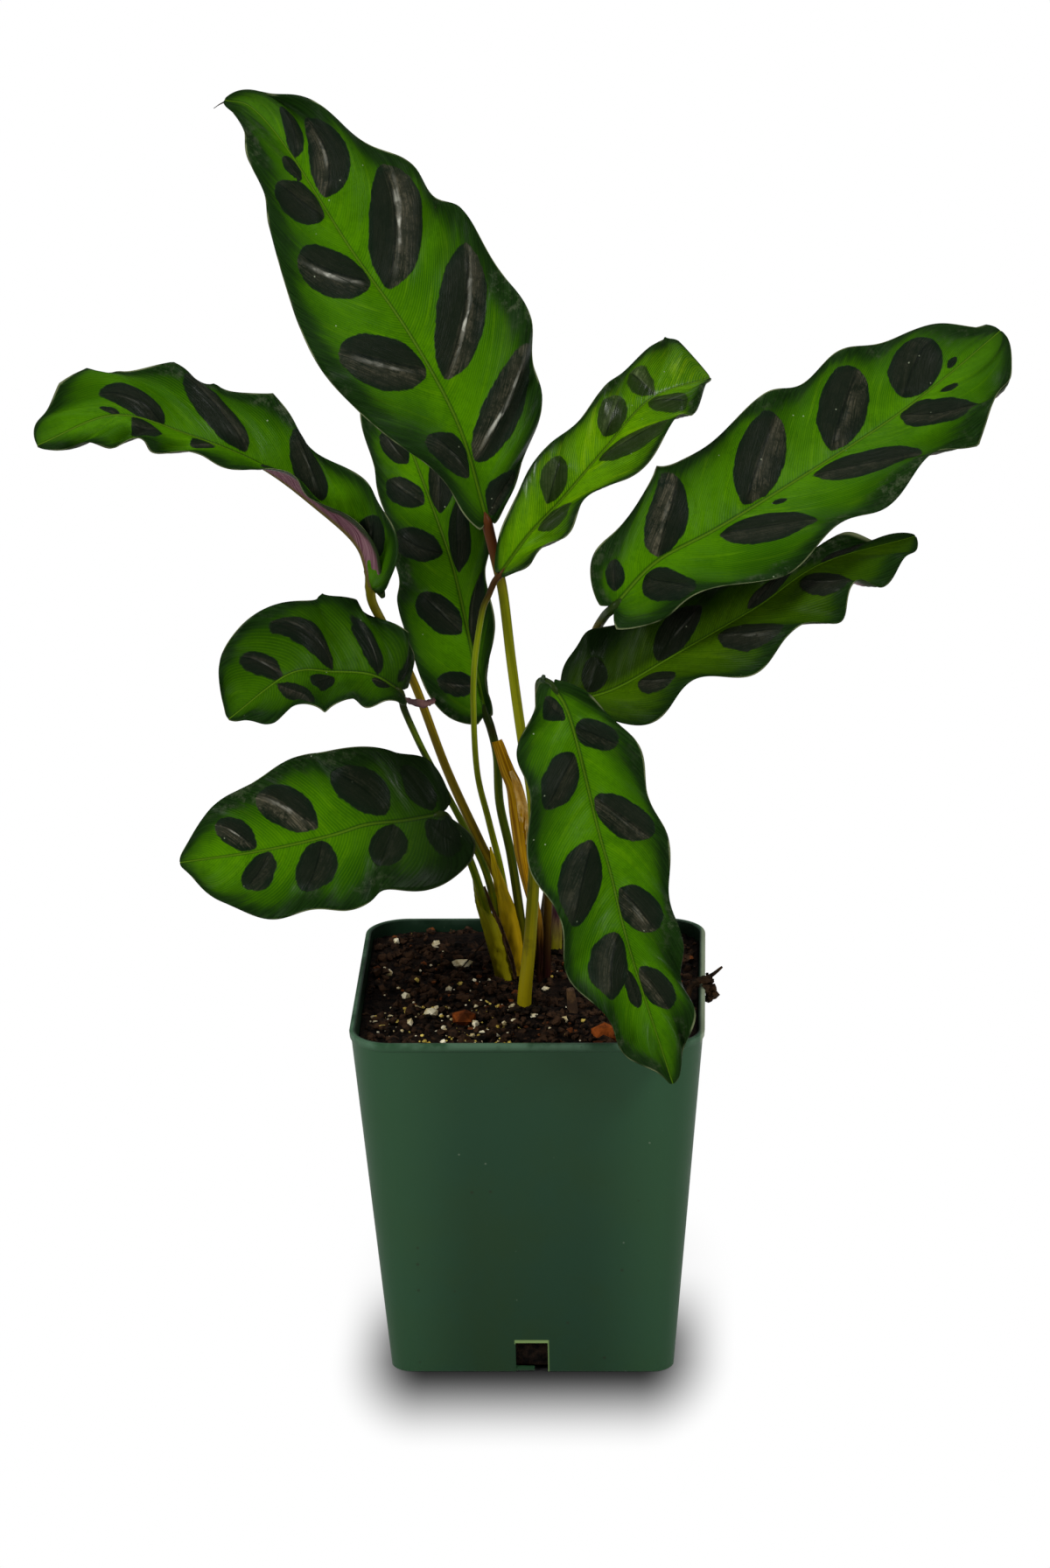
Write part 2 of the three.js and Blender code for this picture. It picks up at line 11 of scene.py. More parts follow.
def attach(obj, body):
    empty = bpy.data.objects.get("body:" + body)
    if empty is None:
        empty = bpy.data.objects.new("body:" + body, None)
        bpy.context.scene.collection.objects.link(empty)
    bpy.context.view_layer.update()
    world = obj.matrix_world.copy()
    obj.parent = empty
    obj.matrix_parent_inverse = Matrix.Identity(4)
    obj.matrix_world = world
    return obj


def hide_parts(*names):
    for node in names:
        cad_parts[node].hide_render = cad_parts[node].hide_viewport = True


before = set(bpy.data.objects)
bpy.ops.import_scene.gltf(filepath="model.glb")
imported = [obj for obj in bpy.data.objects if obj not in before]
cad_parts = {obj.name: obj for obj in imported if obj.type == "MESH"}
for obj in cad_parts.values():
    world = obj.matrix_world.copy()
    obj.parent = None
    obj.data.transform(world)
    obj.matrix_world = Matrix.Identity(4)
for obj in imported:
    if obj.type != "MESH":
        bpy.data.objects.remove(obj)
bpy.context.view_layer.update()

MM = 0.001

# Pot and soil, in millimetres
POT_HEIGHT = 105.0
RIM_WIDTH = 100.0
BASE_WIDTH = 81.0
RIM_CORNER = 12.0
BASE_CORNER = 6.0
WALL = 1.2
FLOOR = 1.6
LIP_HEIGHT = 2.2
LIP_OUT = 0.4
POT_SIDES = 96
POT_SHARP = 32
NOTCH_WIDTH = 9.2
NOTCH_HALF = NOTCH_WIDTH / 2
NOTCH_HEIGHT = 9.5
NOTCH_DEPTH = 5.0
NOTCH_OVERRUN = 2.0
SOIL_TOP = 100.5
SOIL_SLOPE = 0.02
SOIL_GAP = 0.15
SOIL_SIDES = 240
SOIL_RINGS = 70
MOUND = dict(x=-2.0, y=5.0, height=1.5, spread=18.0)
# Lumps of the soil: height, seed and spacing
LUMPS = [(2.4, 3, 8.0), (1.5, 4, 3.1), (1.0, 5, 1.4)]
LATTICE = 200

# Where the colours of the pot fade in, in millimetres: up the walls and towards their corners (painted light
# that makes them lighter), at the top of the rim (wear), up the inner wall (painted shade), round the cut
# edge of the front notch and at the right rim (painted highlights)
POT_FADES = dict(
    height=(0, 110), corner=(14, 42), wear_and_sheen=(102.5, 104.6), inner=(84, 90),
    over=(NOTCH_HALF + 0.5, NOTCH_HALF), top=(NOTCH_HEIGHT - 0.6, NOTCH_HEIGHT),
    beside=(NOTCH_HALF + 0.5, NOTCH_HALF + 0.3), end=(NOTCH_HALF - 0.2, NOTCH_HALF),
    above=(NOTCH_HEIGHT + 1.1, NOTCH_HEIGHT + 0.8), front=(-38, -39), right=(48.4, 49.4), high=(100, 103),
)
# How deep behind the outer surface the painted shade of the inner wall fades in, and how far below the rim
# the round of its corners is taken
INNER_SKIN = (0.5, 1.0)
INNER_CORNER = 5.0

# Blades, in millimetres, and powers and shares of their curves
BLADE_ROWS = 190
BLADE_COLUMNS = 22
COLUMN_CROWDING = 1.2
BLADE_THICKNESS = 0.45
MARGIN_THICKNESS = 0.22
MARGIN_SHARE = 0.15
BASE_HALF = 1.0
TIP_HALF = 0.3
LOBE_LENGTH = 0.33
LOBE_POWER = 1.5
RIB_DEPTH = 0.95
RIB_HALF = 1.3
GROOVE_DEPTH = 0.14
GROOVE_HALF = 0.5
PLEAT_SPACING = 4.6
PLEAT_HEIGHT = 0.12
CREASE_HEIGHT = 0.85
CALM_RIB = 4
CALM_TIP = 0.12
CALM_MARGIN = 0.2
TIP_START = 0.84
TIP_FADE = 0.2
RIPPLE_FADE = 0.1
WAVE_POWER = 1.6
TANGENT_STEP = 0.004
LINE_STEPS = 400

# Side veins: how they bend outwards, how their sweep grows towards the tip, and the slant and spacing
# of the fine ones
VEIN_BEND = 1.3
SWEEP_BASE = 0.7
SWEEP_GROWTH = 0.6
VEIN_SLANT = 0.07
VEIN_SPACING = 0.9
BLADE_SHIFT = 300

# Ovals, in shares of an oval's own half breadth and length where no unit fits: its outline, how far
# round it its fields reach, and where its crease, rise, glossy streak and smear fade out
EGG = 0.14
OVAL_BELLY = 1.42
OVAL_POINT = 0.2
OVAL_ENDS = 2.3
OVAL_FULL = 1.045
OVAL_SLOPE = 0.8
OVAL_DEPTH = 4.0
RIB_SHARE = 0.01
NEAR_ACROSS = 1.3
NEAR_ALONG = 1.4
CREASE_END = 1.15
END_FADE = 0.5
RISE_SIDE = 1.15
RISE_END = 1.2
RISE_BREADTH = 6
SHINE_SEED = 7
SHINE_MIDDLE = 0.1
SHINE_SPREAD = 0.48
SMEAR = 0.9
SMEAR_SPREAD = 0.8
SMEAR_START = 0.9

# Where the base of a blade lies in shade: how far up it goes, how softly it ends and on which
# side, 0 for both
DUSK = {"leaf_4": (0.44, 0.34, 0), "leaf_3": (0.2, 0.2, 0), "leaf_8": (0.4, 0.18, -1)}
NO_DUSK = (0.0, 1.0, 0)
DUSK_SIDE = 0.2

# Width of the dark margin at base, middle and tip
BANDS = {
    "leaf_1": (3.8, 5.2, 3.0), "leaf_2": (2.6, 1.6, 1.8), "leaf_3": (2.6, 2.6, 3.0),
    "leaf_4": (9.0, 4.6, 4.2), "leaf_5": (3.4, 3.0, 3.0), "leaf_6": (1.1, 1.2, 1.3),
    "leaf_7": (3.6, 2.9, 3.4), "leaf_8": (4.4, 4.0, 4.0), "leaf_9": (3.8, 2.8, 2.8),
}

# Small crests of the margin: side (1 right, -1 left), share of the way from base to tip, and height,
# below 0 for a dip
CRESTS = {
    "leaf_2": [(1, 0.45, 2.0), (1, 0.555, 2.4), (1, 0.68, 1.0), (1, 0.77, 1.4), (1, 0.825, 2.0),
               (1, 0.885, 1.2)],
    "leaf_3": [(1, 0.105, 1.4), (1, 0.25, 0.8), (1, 0.37, 1.6)],
    "leaf_6": [(-1, 0.93, 1.8), (-1, 0.975, 2.0)],
    "leaf_7": [(-1, 0.205, 3.0), (1, 0.77, 2.4), (-1, 0.97, -1.0), (-1, 0.99, 1.6)],
}
CREST_REACH = 0.022
CREST_POWER = 6

# For each oval: how light its grey-brown half of painted sheen is, below 0 where that half lies towards the
# tip, and how bright the painted highlight beside its crease is
OVAL_LIGHT = {
    "leaf_1": dict(right=[(0.3, 0), (-0.6, 0.7), (0.65, 1), (0.6, 0.55), (-0.65, 0.15), (0.1, 0)],
                   left=[(0.2, 0.05), (0.45, 0.2), (0.3, 0.95), (-0.15, 0), (0.1, 0)]),
    "leaf_4": dict(right=[(0.05, 0), (0.15, 0), (-1, 0.25), (-0.75, 0.3)],
                   left=[(0.05, 0), (0.1, 0), (0.1, 0), (0.15, 0)]),
    "leaf_7": dict(right=[(0.1, 0), (0.2, 0), (0.25, 0), (0.3, 0), (0, 0), (0, 0)],
                   left=[(0.1, 0), (0.8, 0.06), (-0.6, 0.04), (-0.5, 0.04), (0.1, 0), (0, 0)]),
    "leaf_9": dict(right=[(0.2, 0), (-0.2, 0), (0.2, 0), (0.25, 0), (0.1, 0)],
                   left=[(-0.25, 0), (-0.55, 0.12), (-0.8, 0.08), (-0.6, 0.05)]),
}
# Strength of the painted sheen and of the painted highlight on ovals that OVAL_LIGHT leaves out
SHEEN_ELSEWHERE = 0.35
GLINT_ELSEWHERE = 0.1

# Greens, oval and painted sheen colours, from 0 to 255, and the weight of the glossy streaks
BLADE_TONES = {
    "grown": dict(green=(68, 119, 1), deep=(40, 85, 1), glow=(96, 144, 2),
                  oval=(16, 29, 17), sheen=(86, 82, 66), gloss=0.07),
    "young": dict(green=(80, 132, 1), deep=(44, 92, 1), glow=(148, 186, 8),
                  oval=(30, 50, 12), sheen=(112, 128, 78), gloss=0.35),
    # The low and shaded finishes are darker copies of the greens for blades that lie in shade: painted shade
    "low": dict(green=(49, 90, 1), deep=(34, 68, 1), glow=(72, 114, 2),
                oval=(16, 26, 16), sheen=(72, 66, 54), gloss=0.05),
    "shaded": dict(green=(60, 94, 2), deep=(38, 66, 3), glow=(86, 120, 6),
                   oval=(22, 30, 20), sheen=(84, 82, 66), gloss=0.1),
}

# Stalks, sheaths and the rolled shoot: first and second tone, foot and joint below the blade
STALK_TONES = {
    "olive_stalk_skin": ((98, 104, 4), (128, 130, 12), (142, 130, 8), (82, 44, 18)),
    "gold_stalk_skin": ((98, 84, 4), (134, 112, 12), (148, 122, 8), (98, 92, 12)),
    "green_stalk_skin": ((58, 82, 4), (92, 106, 8), (112, 112, 8), (34, 48, 8)),
    "bright_stalk_skin": ((112, 130, 4), (146, 156, 14), (130, 128, 8), (66, 44, 14)),
    "maroon_stalk_skin": ((96, 80, 10), (118, 94, 18), (44, 20, 18), (34, 50, 12)),
    "dry_leaf": ((146, 98, 0), (218, 168, 20), (40, 20, 14), (206, 170, 100)),
    "young_shoot": ((66, 34, 50), (118, 74, 90), (150, 146, 20), (110, 64, 80)),
    "green_sheath": ((96, 112, 6), (136, 142, 14), (138, 130, 12), (84, 76, 24)),
    "gold_sheath": ((204, 176, 6), (238, 208, 26), (200, 164, 16), (84, 76, 24)),
}

# Plain natural surfaces: two colours, scale of the pattern, roughness, relief in mm, and specular
NATURAL = {
    "soil_mix": ((6, 4, 3), (32, 22, 15), 380, 0.95, 0.6, 0.08),
    "peat_crumbs": ((9, 6, 4), (60, 41, 26), 300, 0.9, 0.4, 0.1),
    "rusty_crumbs": ((62, 30, 12), (112, 62, 28), 300, 0.9, 0.4, 0.1),
    "perlite": ((186, 168, 116), (252, 244, 210), 260, 0.85, 0.4, 0.3),
    "amber_grains": ((160, 134, 44), (232, 208, 104), 260, 0.8, 0.4, 0.3),
    "bark_red": ((72, 32, 6), (142, 70, 22), 180, 0.85, 0.5, 0.1),
    "dry_edge": ((196, 150, 56), (246, 222, 156), 120, 0.6, 0.3, 0.1),
    "dry_stub": ((54, 36, 20), (104, 76, 42), 160, 0.8, 0.4, 0.3),
    "twig_fibre": ((12, 8, 4), (52, 36, 20), 160, 0.9, 0.5, 0.1),
    "dead_edge": ((46, 28, 12), (96, 66, 26), 140, 0.8, 0.4, 0.3),
    "curled_lobe": ((52, 26, 30), (92, 60, 54), 200, 0.6, 0.3, 0.3),
    "upright_lobe": ((16, 34, 8), (32, 56, 14), 160, 0.5, 0.3, 0.3),
}

CURL = 0.3
SWEEP = 0.15


def flank(**own):
    """One side of a blade, with the usual curl and sweep where it has none of its own."""
    return {"curl": CURL, "sweep": SWEEP, **own}


# Each blade: its midrib from base to tip, which way its upper face looks at base, middle and tip,
# and for each side the half-widths at eighths of the way, the lift in degrees, how much the lift
# eases off, how far the base lobe goes back, where the margin ripples, how high the ripples are,
# how far they push the margin out, and how far the side veins sweep towards the tip.
LEAVES = {
    "leaf_1": dict(
        midrib=[(-11, 12, 239), (-18.5, 15, 265.5), (-32, 22, 290), (-49, 33, 312.5),
                (-66.5, 46, 337.5), (-77, 54, 348), (-85, 58, 349.5)],
        face=[(0.3, -0.85, 0.35), (0.4, -0.85, 0.35), (0.3, -0.8, 0.5)],
        right=flank(half=[6.5, 20, 30.5, 31.5, 25.5, 14, 4.5], lift=[20, 18, 15], curl=0.4, lobe=2,
                    ripples=[0.025, 0.18, 0.305, 0.535, 0.675, 0.87], wave=3.5, scallop=-0.1, sweep=0.19),
        left=flank(half=[5.5, 13, 28.5, 29.5, 18.5, 11, 4], lift=[25, 25, 20], curl=0.4, lobe=3,
                   ripples=[0.195, 0.4, 0.69, 0.835], wave=1.5, scallop=1.3, sweep=0.14),
    ),
    "leaf_2": dict(
        midrib=[(-43, -8, 226), (-46, -10, 238), (-58, -12, 251), (-72, -18, 264),
                (-90, -26, 274.5), (-109, -36, 283), (-129, -46, 277.5)],
        face=[(-0.35, -0.75, 0.5), (0, -0.55, 0.85), (-0.35, -0.6, 0.75)],
        right=flank(half=[9, 12.5, 12.5, 17, 16.5, 12.5, 8], lift=[40, 25, 10], curl=0.15, lobe=2,
                    ripples=[0.075, 0.205, 0.435, 0.675, 0.865], wave=2.5, scallop=0.2),
        left=flank(half=[8, 6, 7, 11.5, 11, 9.5, 4], lift=[180, 38, -8], curl=0.15, lobe=4,
                   ripples=[-0.1, 0.17, 0.395, 0.645, 0.78], wave=2.5, scallop=0.6),
    ),
    "leaf_3": dict(
        finish="low",
        midrib=[(-35, -10, 195.5), (-42.5, -14, 201.5), (-53, -20, 204.5), (-64.5, -28, 206.5),
                (-80.5, -40, 197.5)],
        face=[(-0.2, -0.6, 0.75), (-0.1, -0.7, 0.7), (-0.4, -0.7, 0.6)],
        right=flank(half=[10, 15, 21, 20, 18.5, 13.5, 4.5], lift=[25, 20, 10], lobe=2,
                    ripples=[0.135, 0.27, 0.6, 0.865], wave=2.5, scallop=-0.9),
        left=flank(half=[4, 8.5, 12, 14, 15, 9, 4], lift=[25, 20, 10], lobe=4,
                   ripples=[0.085, 0.42, 0.75, 1.01], wave=2.5, scallop=-0.9),
    ),
    "leaf_4": dict(
        midrib=[(-23.5, -14, 160.5), (-34.5, -17, 159.5), (-45, -19, 159), (-55.5, -20, 156),
                (-74, -22, 152.5), (-97.5, -22, 149)],
        tuck=(0, 2.2, -1.8),
        face=[(0.1, -0.8, 0.55), (0, -0.8, 0.6), (-0.2, -0.8, 0.5)],
        right=flank(half=[14, 18.5, 22, 23.5, 19, 14.5, 5], lift=[15, 12, 8], lobe=3,
                    ripples=[0.015, 0.29, 0.535, 0.765], wave=2, scallop=-0.6),
        left=flank(half=[11, 20, 21.5, 22, 19.5, 14, 4], lift=[15, 12, 8], lobe=16,
                   ripples=[0, 0.265, 0.55, 0.84], wave=2, scallop=-0.65),
    ),
    "leaf_5": dict(
        midrib=[(-12.5, 20, 179), (-16, 26, 194), (-21.5, 38, 215.5), (-26, 46, 227),
                (-32, 56, 240.5), (-45, 78, 268.5)],
        face=[(-0.1, -0.9, 0.3), (-0.25, -0.85, 0.35), (-0.1, -0.85, 0.45)],
        right=flank(half=[2, 3.5, 10.5, 14, 15, 12, 5], lift=[25, 20, 10], lobe=2,
                    ripples=[0.055, 0.335, 0.545, 0.8], wave=2.5, scallop=-1.4),
        left=flank(half=[10.5, 15.5, 17, 14, 12, 10, 5], lift=[20, 20, 10], lobe=3,
                   ripples=[0.08, 0.325, 0.475, 0.64, 0.85], wave=2, scallop=-0.1),
    ),
    "leaf_6": dict(
        finish="young",
        midrib=[(-6.5, 2, 226.5), (1, 6, 236), (10, 11, 244.5), (22, 20, 256.5), (35.5, 30, 269),
                (52, 41, 272)],
        face=[(-0.2, -0.85, 0.5), (-0.1, -0.75, 0.65), (-0.3, -0.6, 0.7)],
        right=flank(half=[3, 8.5, 7.5, 12, 16, 10.5, 3], lift=[35, 32, 20], lobe=1,
                    ripples=[0.14, 0.345, 0.715, 0.99], wave=3, scallop=-1, sweep=0.2),
        left=flank(half=[3, 7, 12, 11, 10.5, 13, 14], lift=[35, 32, 20], lobe=1,
                   ripples=[0.1, 0.415, 0.68, 0.865], wave=2, scallop=-0.25, sweep=0.13),
    ),
    "leaf_7": dict(
        midrib=[(25, 2, 216.5), (37, 5, 228.5), (54, 12, 236), (78.5, 27, 247), (103, 45, 258),
                (119.5, 57, 267.5), (135.5, 67, 278.5)],
        face=[(-0.25, -0.8, 0.5), (-0.15, -0.8, 0.6), (-0.3, -0.7, 0.65)],
        right=flank(half=[9.5, 17.5, 23, 22.5, 21, 20.5, 10], lift=[20, 22, 15], lobe=6,
                    ripples=[-0.08, 0.18, 0.425, 0.67, 0.865], wave=3, scallop=-1.3, sweep=0.23),
        left=flank(half=[10.5, 16, 22, 24, 23.5, 19.5, 6.5], lift=[20, 18, 12], lobe=3,
                   ripples=[0.045, 0.2, 0.5, 0.705, 0.955], wave=2.5, scallop=0.6, sweep=0.13),
    ),
    "leaf_8": dict(
        finish="shaded",
        midrib=[(12.5, -1, 189), (25.5, 1, 192.5), (41.5, 4, 201), (64.5, 10, 213), (83.5, 17, 224),
                (110, 25, 229.5)],
        face=[(-0.2, -0.7, 0.7), (-0.1, -0.6, 0.8), (-0.2, -0.6, 0.8)],
        right=flank(half=[7, 14.5, 18.5, 22, 22.5, 14.5, 8.5], lift=[25, 30, 20], lobe=2,
                    ripples=[0.03, 0.3, 0.575, 0.77], wave=4, scallop=-1.4),
        left=flank(half=[12, 16, 17, 13, 5.5, 3.5, 2], lift=[25, 30, 20], lobe=2,
                   ripples=[0.12, 0.36, 0.6, 0.82], wave=3, scallop=0.5),
    ),
    "leaf_9": dict(
        midrib=[(8, -18, 199.5), (13, -22, 190.5), (20.5, -32, 162), (24, -37, 150.5),
                (29.5, -46, 130.5), (41, -58, 96.5)],
        face=[(0.15, -0.9, 0.35), (0.2, -0.95, 0.3), (0.2, -0.9, 0.4)],
        right=flank(half=[7, 16, 20.5, 21, 18, 12, 3], lift=[25, 28, 18], lobe=3,
                    ripples=[0.03, 0.25, 0.57, 0.8], wave=4, scallop=-1.5, sweep=0.12),
        left=flank(half=[3, 13, 16.5, 16, 13, 10.5, 4], lift=[25, 28, 18], lobe=3,
                   ripples=[0.04, 0.2, 0.435, 0.685, 0.86], wave=3, scallop=0.8),
    ),
}

# The dark ovals of each side: where along the side veins (share of the length), how far out (share
# of the half-width), half its breadth, half its length outwards, and how far it leans.
OVALS = {
    "leaf_1": dict(
        right=[(-0.02, 0.55, 0.035, 0.4, -0.12), (0.115, 0.5, 0.05, 0.45, -0.04),
               (0.3, 0.45, 0.062, 0.39, 0), (0.505, 0.46, 0.07, 0.42, -0.01),
               (0.7, 0.4, 0.052, 0.37, -0.07), (0.8, 0.28, 0.028, 0.28, -0.05)],
        left=[(0.11, 0.4, 0.048, 0.34, -0.06), (0.315, 0.42, 0.06, 0.38, -0.05),
              (0.515, 0.38, 0.055, 0.37, -0.06), (0.665, 0.38, 0.048, 0.36, -0.11),
              (0.765, 0.18, 0.028, 0.15, -0.1)],
    ),
    "leaf_2": dict(
        right=[(0.07, 0.45, 0.035, 0.33, -0.1), (0.255, 0.5, 0.058, 0.42, -0.05),
               (0.485, 0.48, 0.06, 0.44, -0.01), (0.71, 0.27, 0.05, 0.33, 0), (0.8, 0.12, 0.012, 0.12, 0)],
        left=[(0.12, 0.45, 0.04, 0.35, -0.08), (0.33, 0.45, 0.05, 0.35, -0.1),
              (0.55, 0.3, 0.032, 0.25, -0.1), (0.68, 0.42, 0.04, 0.35, -0.17)],
    ),
    "leaf_3": dict(
        right=[(0, 0.5, 0.03, 0.35, -0.1), (0.165, 0.4, 0.042, 0.36, 0.02), (0.435, 0.4, 0.065, 0.37, 0.08),
               (0.665, 0.32, 0.05, 0.35, -0.05)],
        left=[(0.12, 0.22, 0.06, 0.18, 0), (0.45, 0.33, 0.075, 0.22, 0), (0.62, 0.5, 0.045, 0.42, -0.2)],
    ),
    "leaf_4": dict(
        right=[(0.035, 0.45, 0.05, 0.35, -0.03), (0.23, 0.42, 0.072, 0.34, -0.02),
               (0.505, 0.45, 0.085, 0.36, 0.02), (0.73, 0.33, 0.06, 0.31, -0.02)],
        left=[(0.01, 0.45, 0.045, 0.38, -0.12), (0.195, 0.33, 0.065, 0.3, -0.06),
              (0.46, 0.37, 0.075, 0.34, -0.08), (0.665, 0.33, 0.055, 0.31, -0.06)],
    ),
    "leaf_5": dict(
        right=[(0.2, 0.5, 0.055, 0.42, 0), (0.405, 0.4, 0.065, 0.37, 0), (0.56, 0.35, 0.06, 0.33, -0.03),
               (0.74, 0.35, 0.045, 0.3, -0.1)],
        left=[(0.055, 0.4, 0.03, 0.35, -0.08), (0.235, 0.38, 0.055, 0.33, -0.03),
              (0.41, 0.5, 0.045, 0.42, -0.09), (0.56, 0.45, 0.045, 0.38, -0.1),
              (0.7, 0.35, 0.045, 0.3, -0.1)],
    ),
    "leaf_6": dict(
        right=[(0.19, 0.4, 0.055, 0.36, -0.1), (0.5, 0.5, 0.07, 0.42, -0.03),
               (0.71, 0.4, 0.045, 0.36, -0.15)],
        left=[(0.295, 0.42, 0.062, 0.33, -0.02), (0.585, 0.4, 0.062, 0.36, -0.08),
              (0.72, 0.42, 0.035, 0.36, -0.16)],
    ),
    "leaf_7": dict(
        right=[(0.035, 0.5, 0.038, 0.44, -0.14), (0.26, 0.4, 0.062, 0.33, -0.06),
               (0.495, 0.4, 0.065, 0.36, -0.05), (0.68, 0.4, 0.05, 0.4, -0.17),
               (0.37, 0.15, 0.012, 0.05, 0), (0.79, 0.22, 0.016, 0.08, -0.1)],
        left=[(0.015, 0.45, 0.022, 0.25, -0.06), (0.135, 0.47, 0.046, 0.45, -0.03),
              (0.365, 0.42, 0.065, 0.4, 0), (0.58, 0.41, 0.066, 0.39, -0.01),
              (0.77, 0.36, 0.062, 0.35, -0.08), (0.87, 0.12, 0.012, 0.06, 0)],
    ),
    "leaf_8": dict(
        right=[(0.175, 0.45, 0.042, 0.31, -0.07), (0.41, 0.5, 0.052, 0.38, -0.04),
               (0.64, 0.5, 0.052, 0.4, -0.09)],
        left=[(0.05, 0.35, 0.035, 0.28, -0.06), (0.295, 0.32, 0.062, 0.32, 0.04),
              (0.565, 0.25, 0.06, 0.25, 0.05), (0.765, 0.3, 0.05, 0.33, -0.05)],
    ),
    "leaf_9": dict(
        right=[(0.03, 0.4, 0.03, 0.33, -0.12), (0.19, 0.43, 0.055, 0.36, -0.03),
               (0.43, 0.48, 0.075, 0.4, 0.02), (0.64, 0.42, 0.06, 0.36, -0.03),
               (0.74, 0.18, 0.045, 0.13, -0.1)],
        left=[(0.105, 0.4, 0.036, 0.36, -0.07), (0.3, 0.43, 0.055, 0.4, -0.04),
              (0.53, 0.35, 0.055, 0.36, -0.08), (0.725, 0.32, 0.05, 0.33, -0.08)],
    ),
}

# Leaf stalks from blade to foot, with radii at the blade, halfway and at the foot
STALKS = {
    "leaf_1": dict(finish="olive", radii=(1.5, 1.5, 2.3), path=[
        (-8.5, 11, 227.5), (-6.5, 10, 217.5), (-4.3, 7, 197.5), (-1.5, 3.5, 176), (1, 0.5, 161),
        (1.6, -2.5, 144), (0.3, -7.5, 122), (-1.6, -12.8, 103), (-1.9, -13.4, 84)]),
    "leaf_2": dict(finish="gold", radii=(1.3, 1.3, 2.0), path=[
        (-42.5, -5, 220), (-39.5, 0.5, 211), (-32, 4, 193.5), (-23.5, 9, 165.8), (-14.5, 13, 142),
        (-9, 13.8, 128.6), (-5.8, 12.2, 108), (-5, 11.4, 84)]),
    "leaf_3": dict(finish="green", radii=(1.0, 1.0, 1.5), path=[
        (-34.3, -8, 190), (-32, -5, 182.5), (-28.4, -2, 172.9), (-19.3, 5.5, 151), (-12.4, 10, 132.5),
        (-9.3, 12.8, 110), (-8.9, 13.3, 84)]),
    "leaf_4": dict(finish="green", radii=(1.1, 1.2, 1.5), path=[
        (-20.5, -6, 152), (-16.8, 0, 141), (-12.8, 6, 124), (-9, 9.2, 106), (-8.8, 9.6, 84)]),
    "leaf_5": dict(finish="green", radii=(1.2, 1.3, 1.4), path=[
        (-11, 18.5, 174.5), (-9.5, 19, 166.2), (-9, 19.5, 151.8), (-6, 18.5, 136.3), (-3.3, 15.8, 116.7),
        (-2, 13.8, 101), (-1.8, 13.4, 84)]),
    "leaf_6": dict(finish="bright", radii=(0.9, 0.9, 1.3), path=[
        (-8.5, 4, 223.5), (-10.5, 6, 218.5), (-12.5, 7, 213), (-15, 9, 197), (-15.6, 11, 182),
        (-15, 14, 162.8), (-12, 16.5, 147), (-8.5, 17.5, 129.5), (-5.5, 15.9, 106), (-5.2, 15.6, 84)]),
    "leaf_7": dict(finish="maroon", radii=(1.3, 1.3, 1.6), path=[
        (21.8, 8.8, 211), (18.5, 14.6, 202.6), (15.5, 15, 186.8), (11, 14, 163.8), (6.4, 15, 137),
        (2.0, 17.2, 106), (1.8, 17.5, 84)]),
    "leaf_8": dict(finish="maroon", radii=(1.2, 1.2, 1.5), path=[
        (10.7, 2, 184.5), (9.1, 5, 172.3), (6.2, 9.8, 144.2), (2.9, 12.9, 107), (2.7, 13.3, 84)]),
    "leaf_9": dict(finish="maroon", radii=(1.2, 1.2, 1.5), path=[
        (4.6, -14, 199.5), (3.8, -8, 193), (4, -2, 174.7), (5.4, 4.2, 141), (4.1, 8.9, 107.8),
        (4.0, 9.3, 84)]),
}

# Leaf stalks under the blade: how far they reach in, the second point, and where they lie there. The
# joint below the blade swells, and the end under it tapers.
STALK_REACH = 5
UNDER_BASE = (0, 0.3, -0.4)
TUCK = (0, 0.9, -0.6)
STALK_STEPS = 100
STALK_SIDES = 16
SWELL = 0.1
SWELL_LENGTH = 0.08
TAPER_LENGTH = 0.03
TAPER_END = 0.25
JOINT_END = 0.08
JOINT_FADE = 0.1

# Up to which height the tone of the foot is full, and over how much it fades above that
FOOT_TONE = dict(stalk=(98, 60), rod=(98, 24), strip=(110, 30))

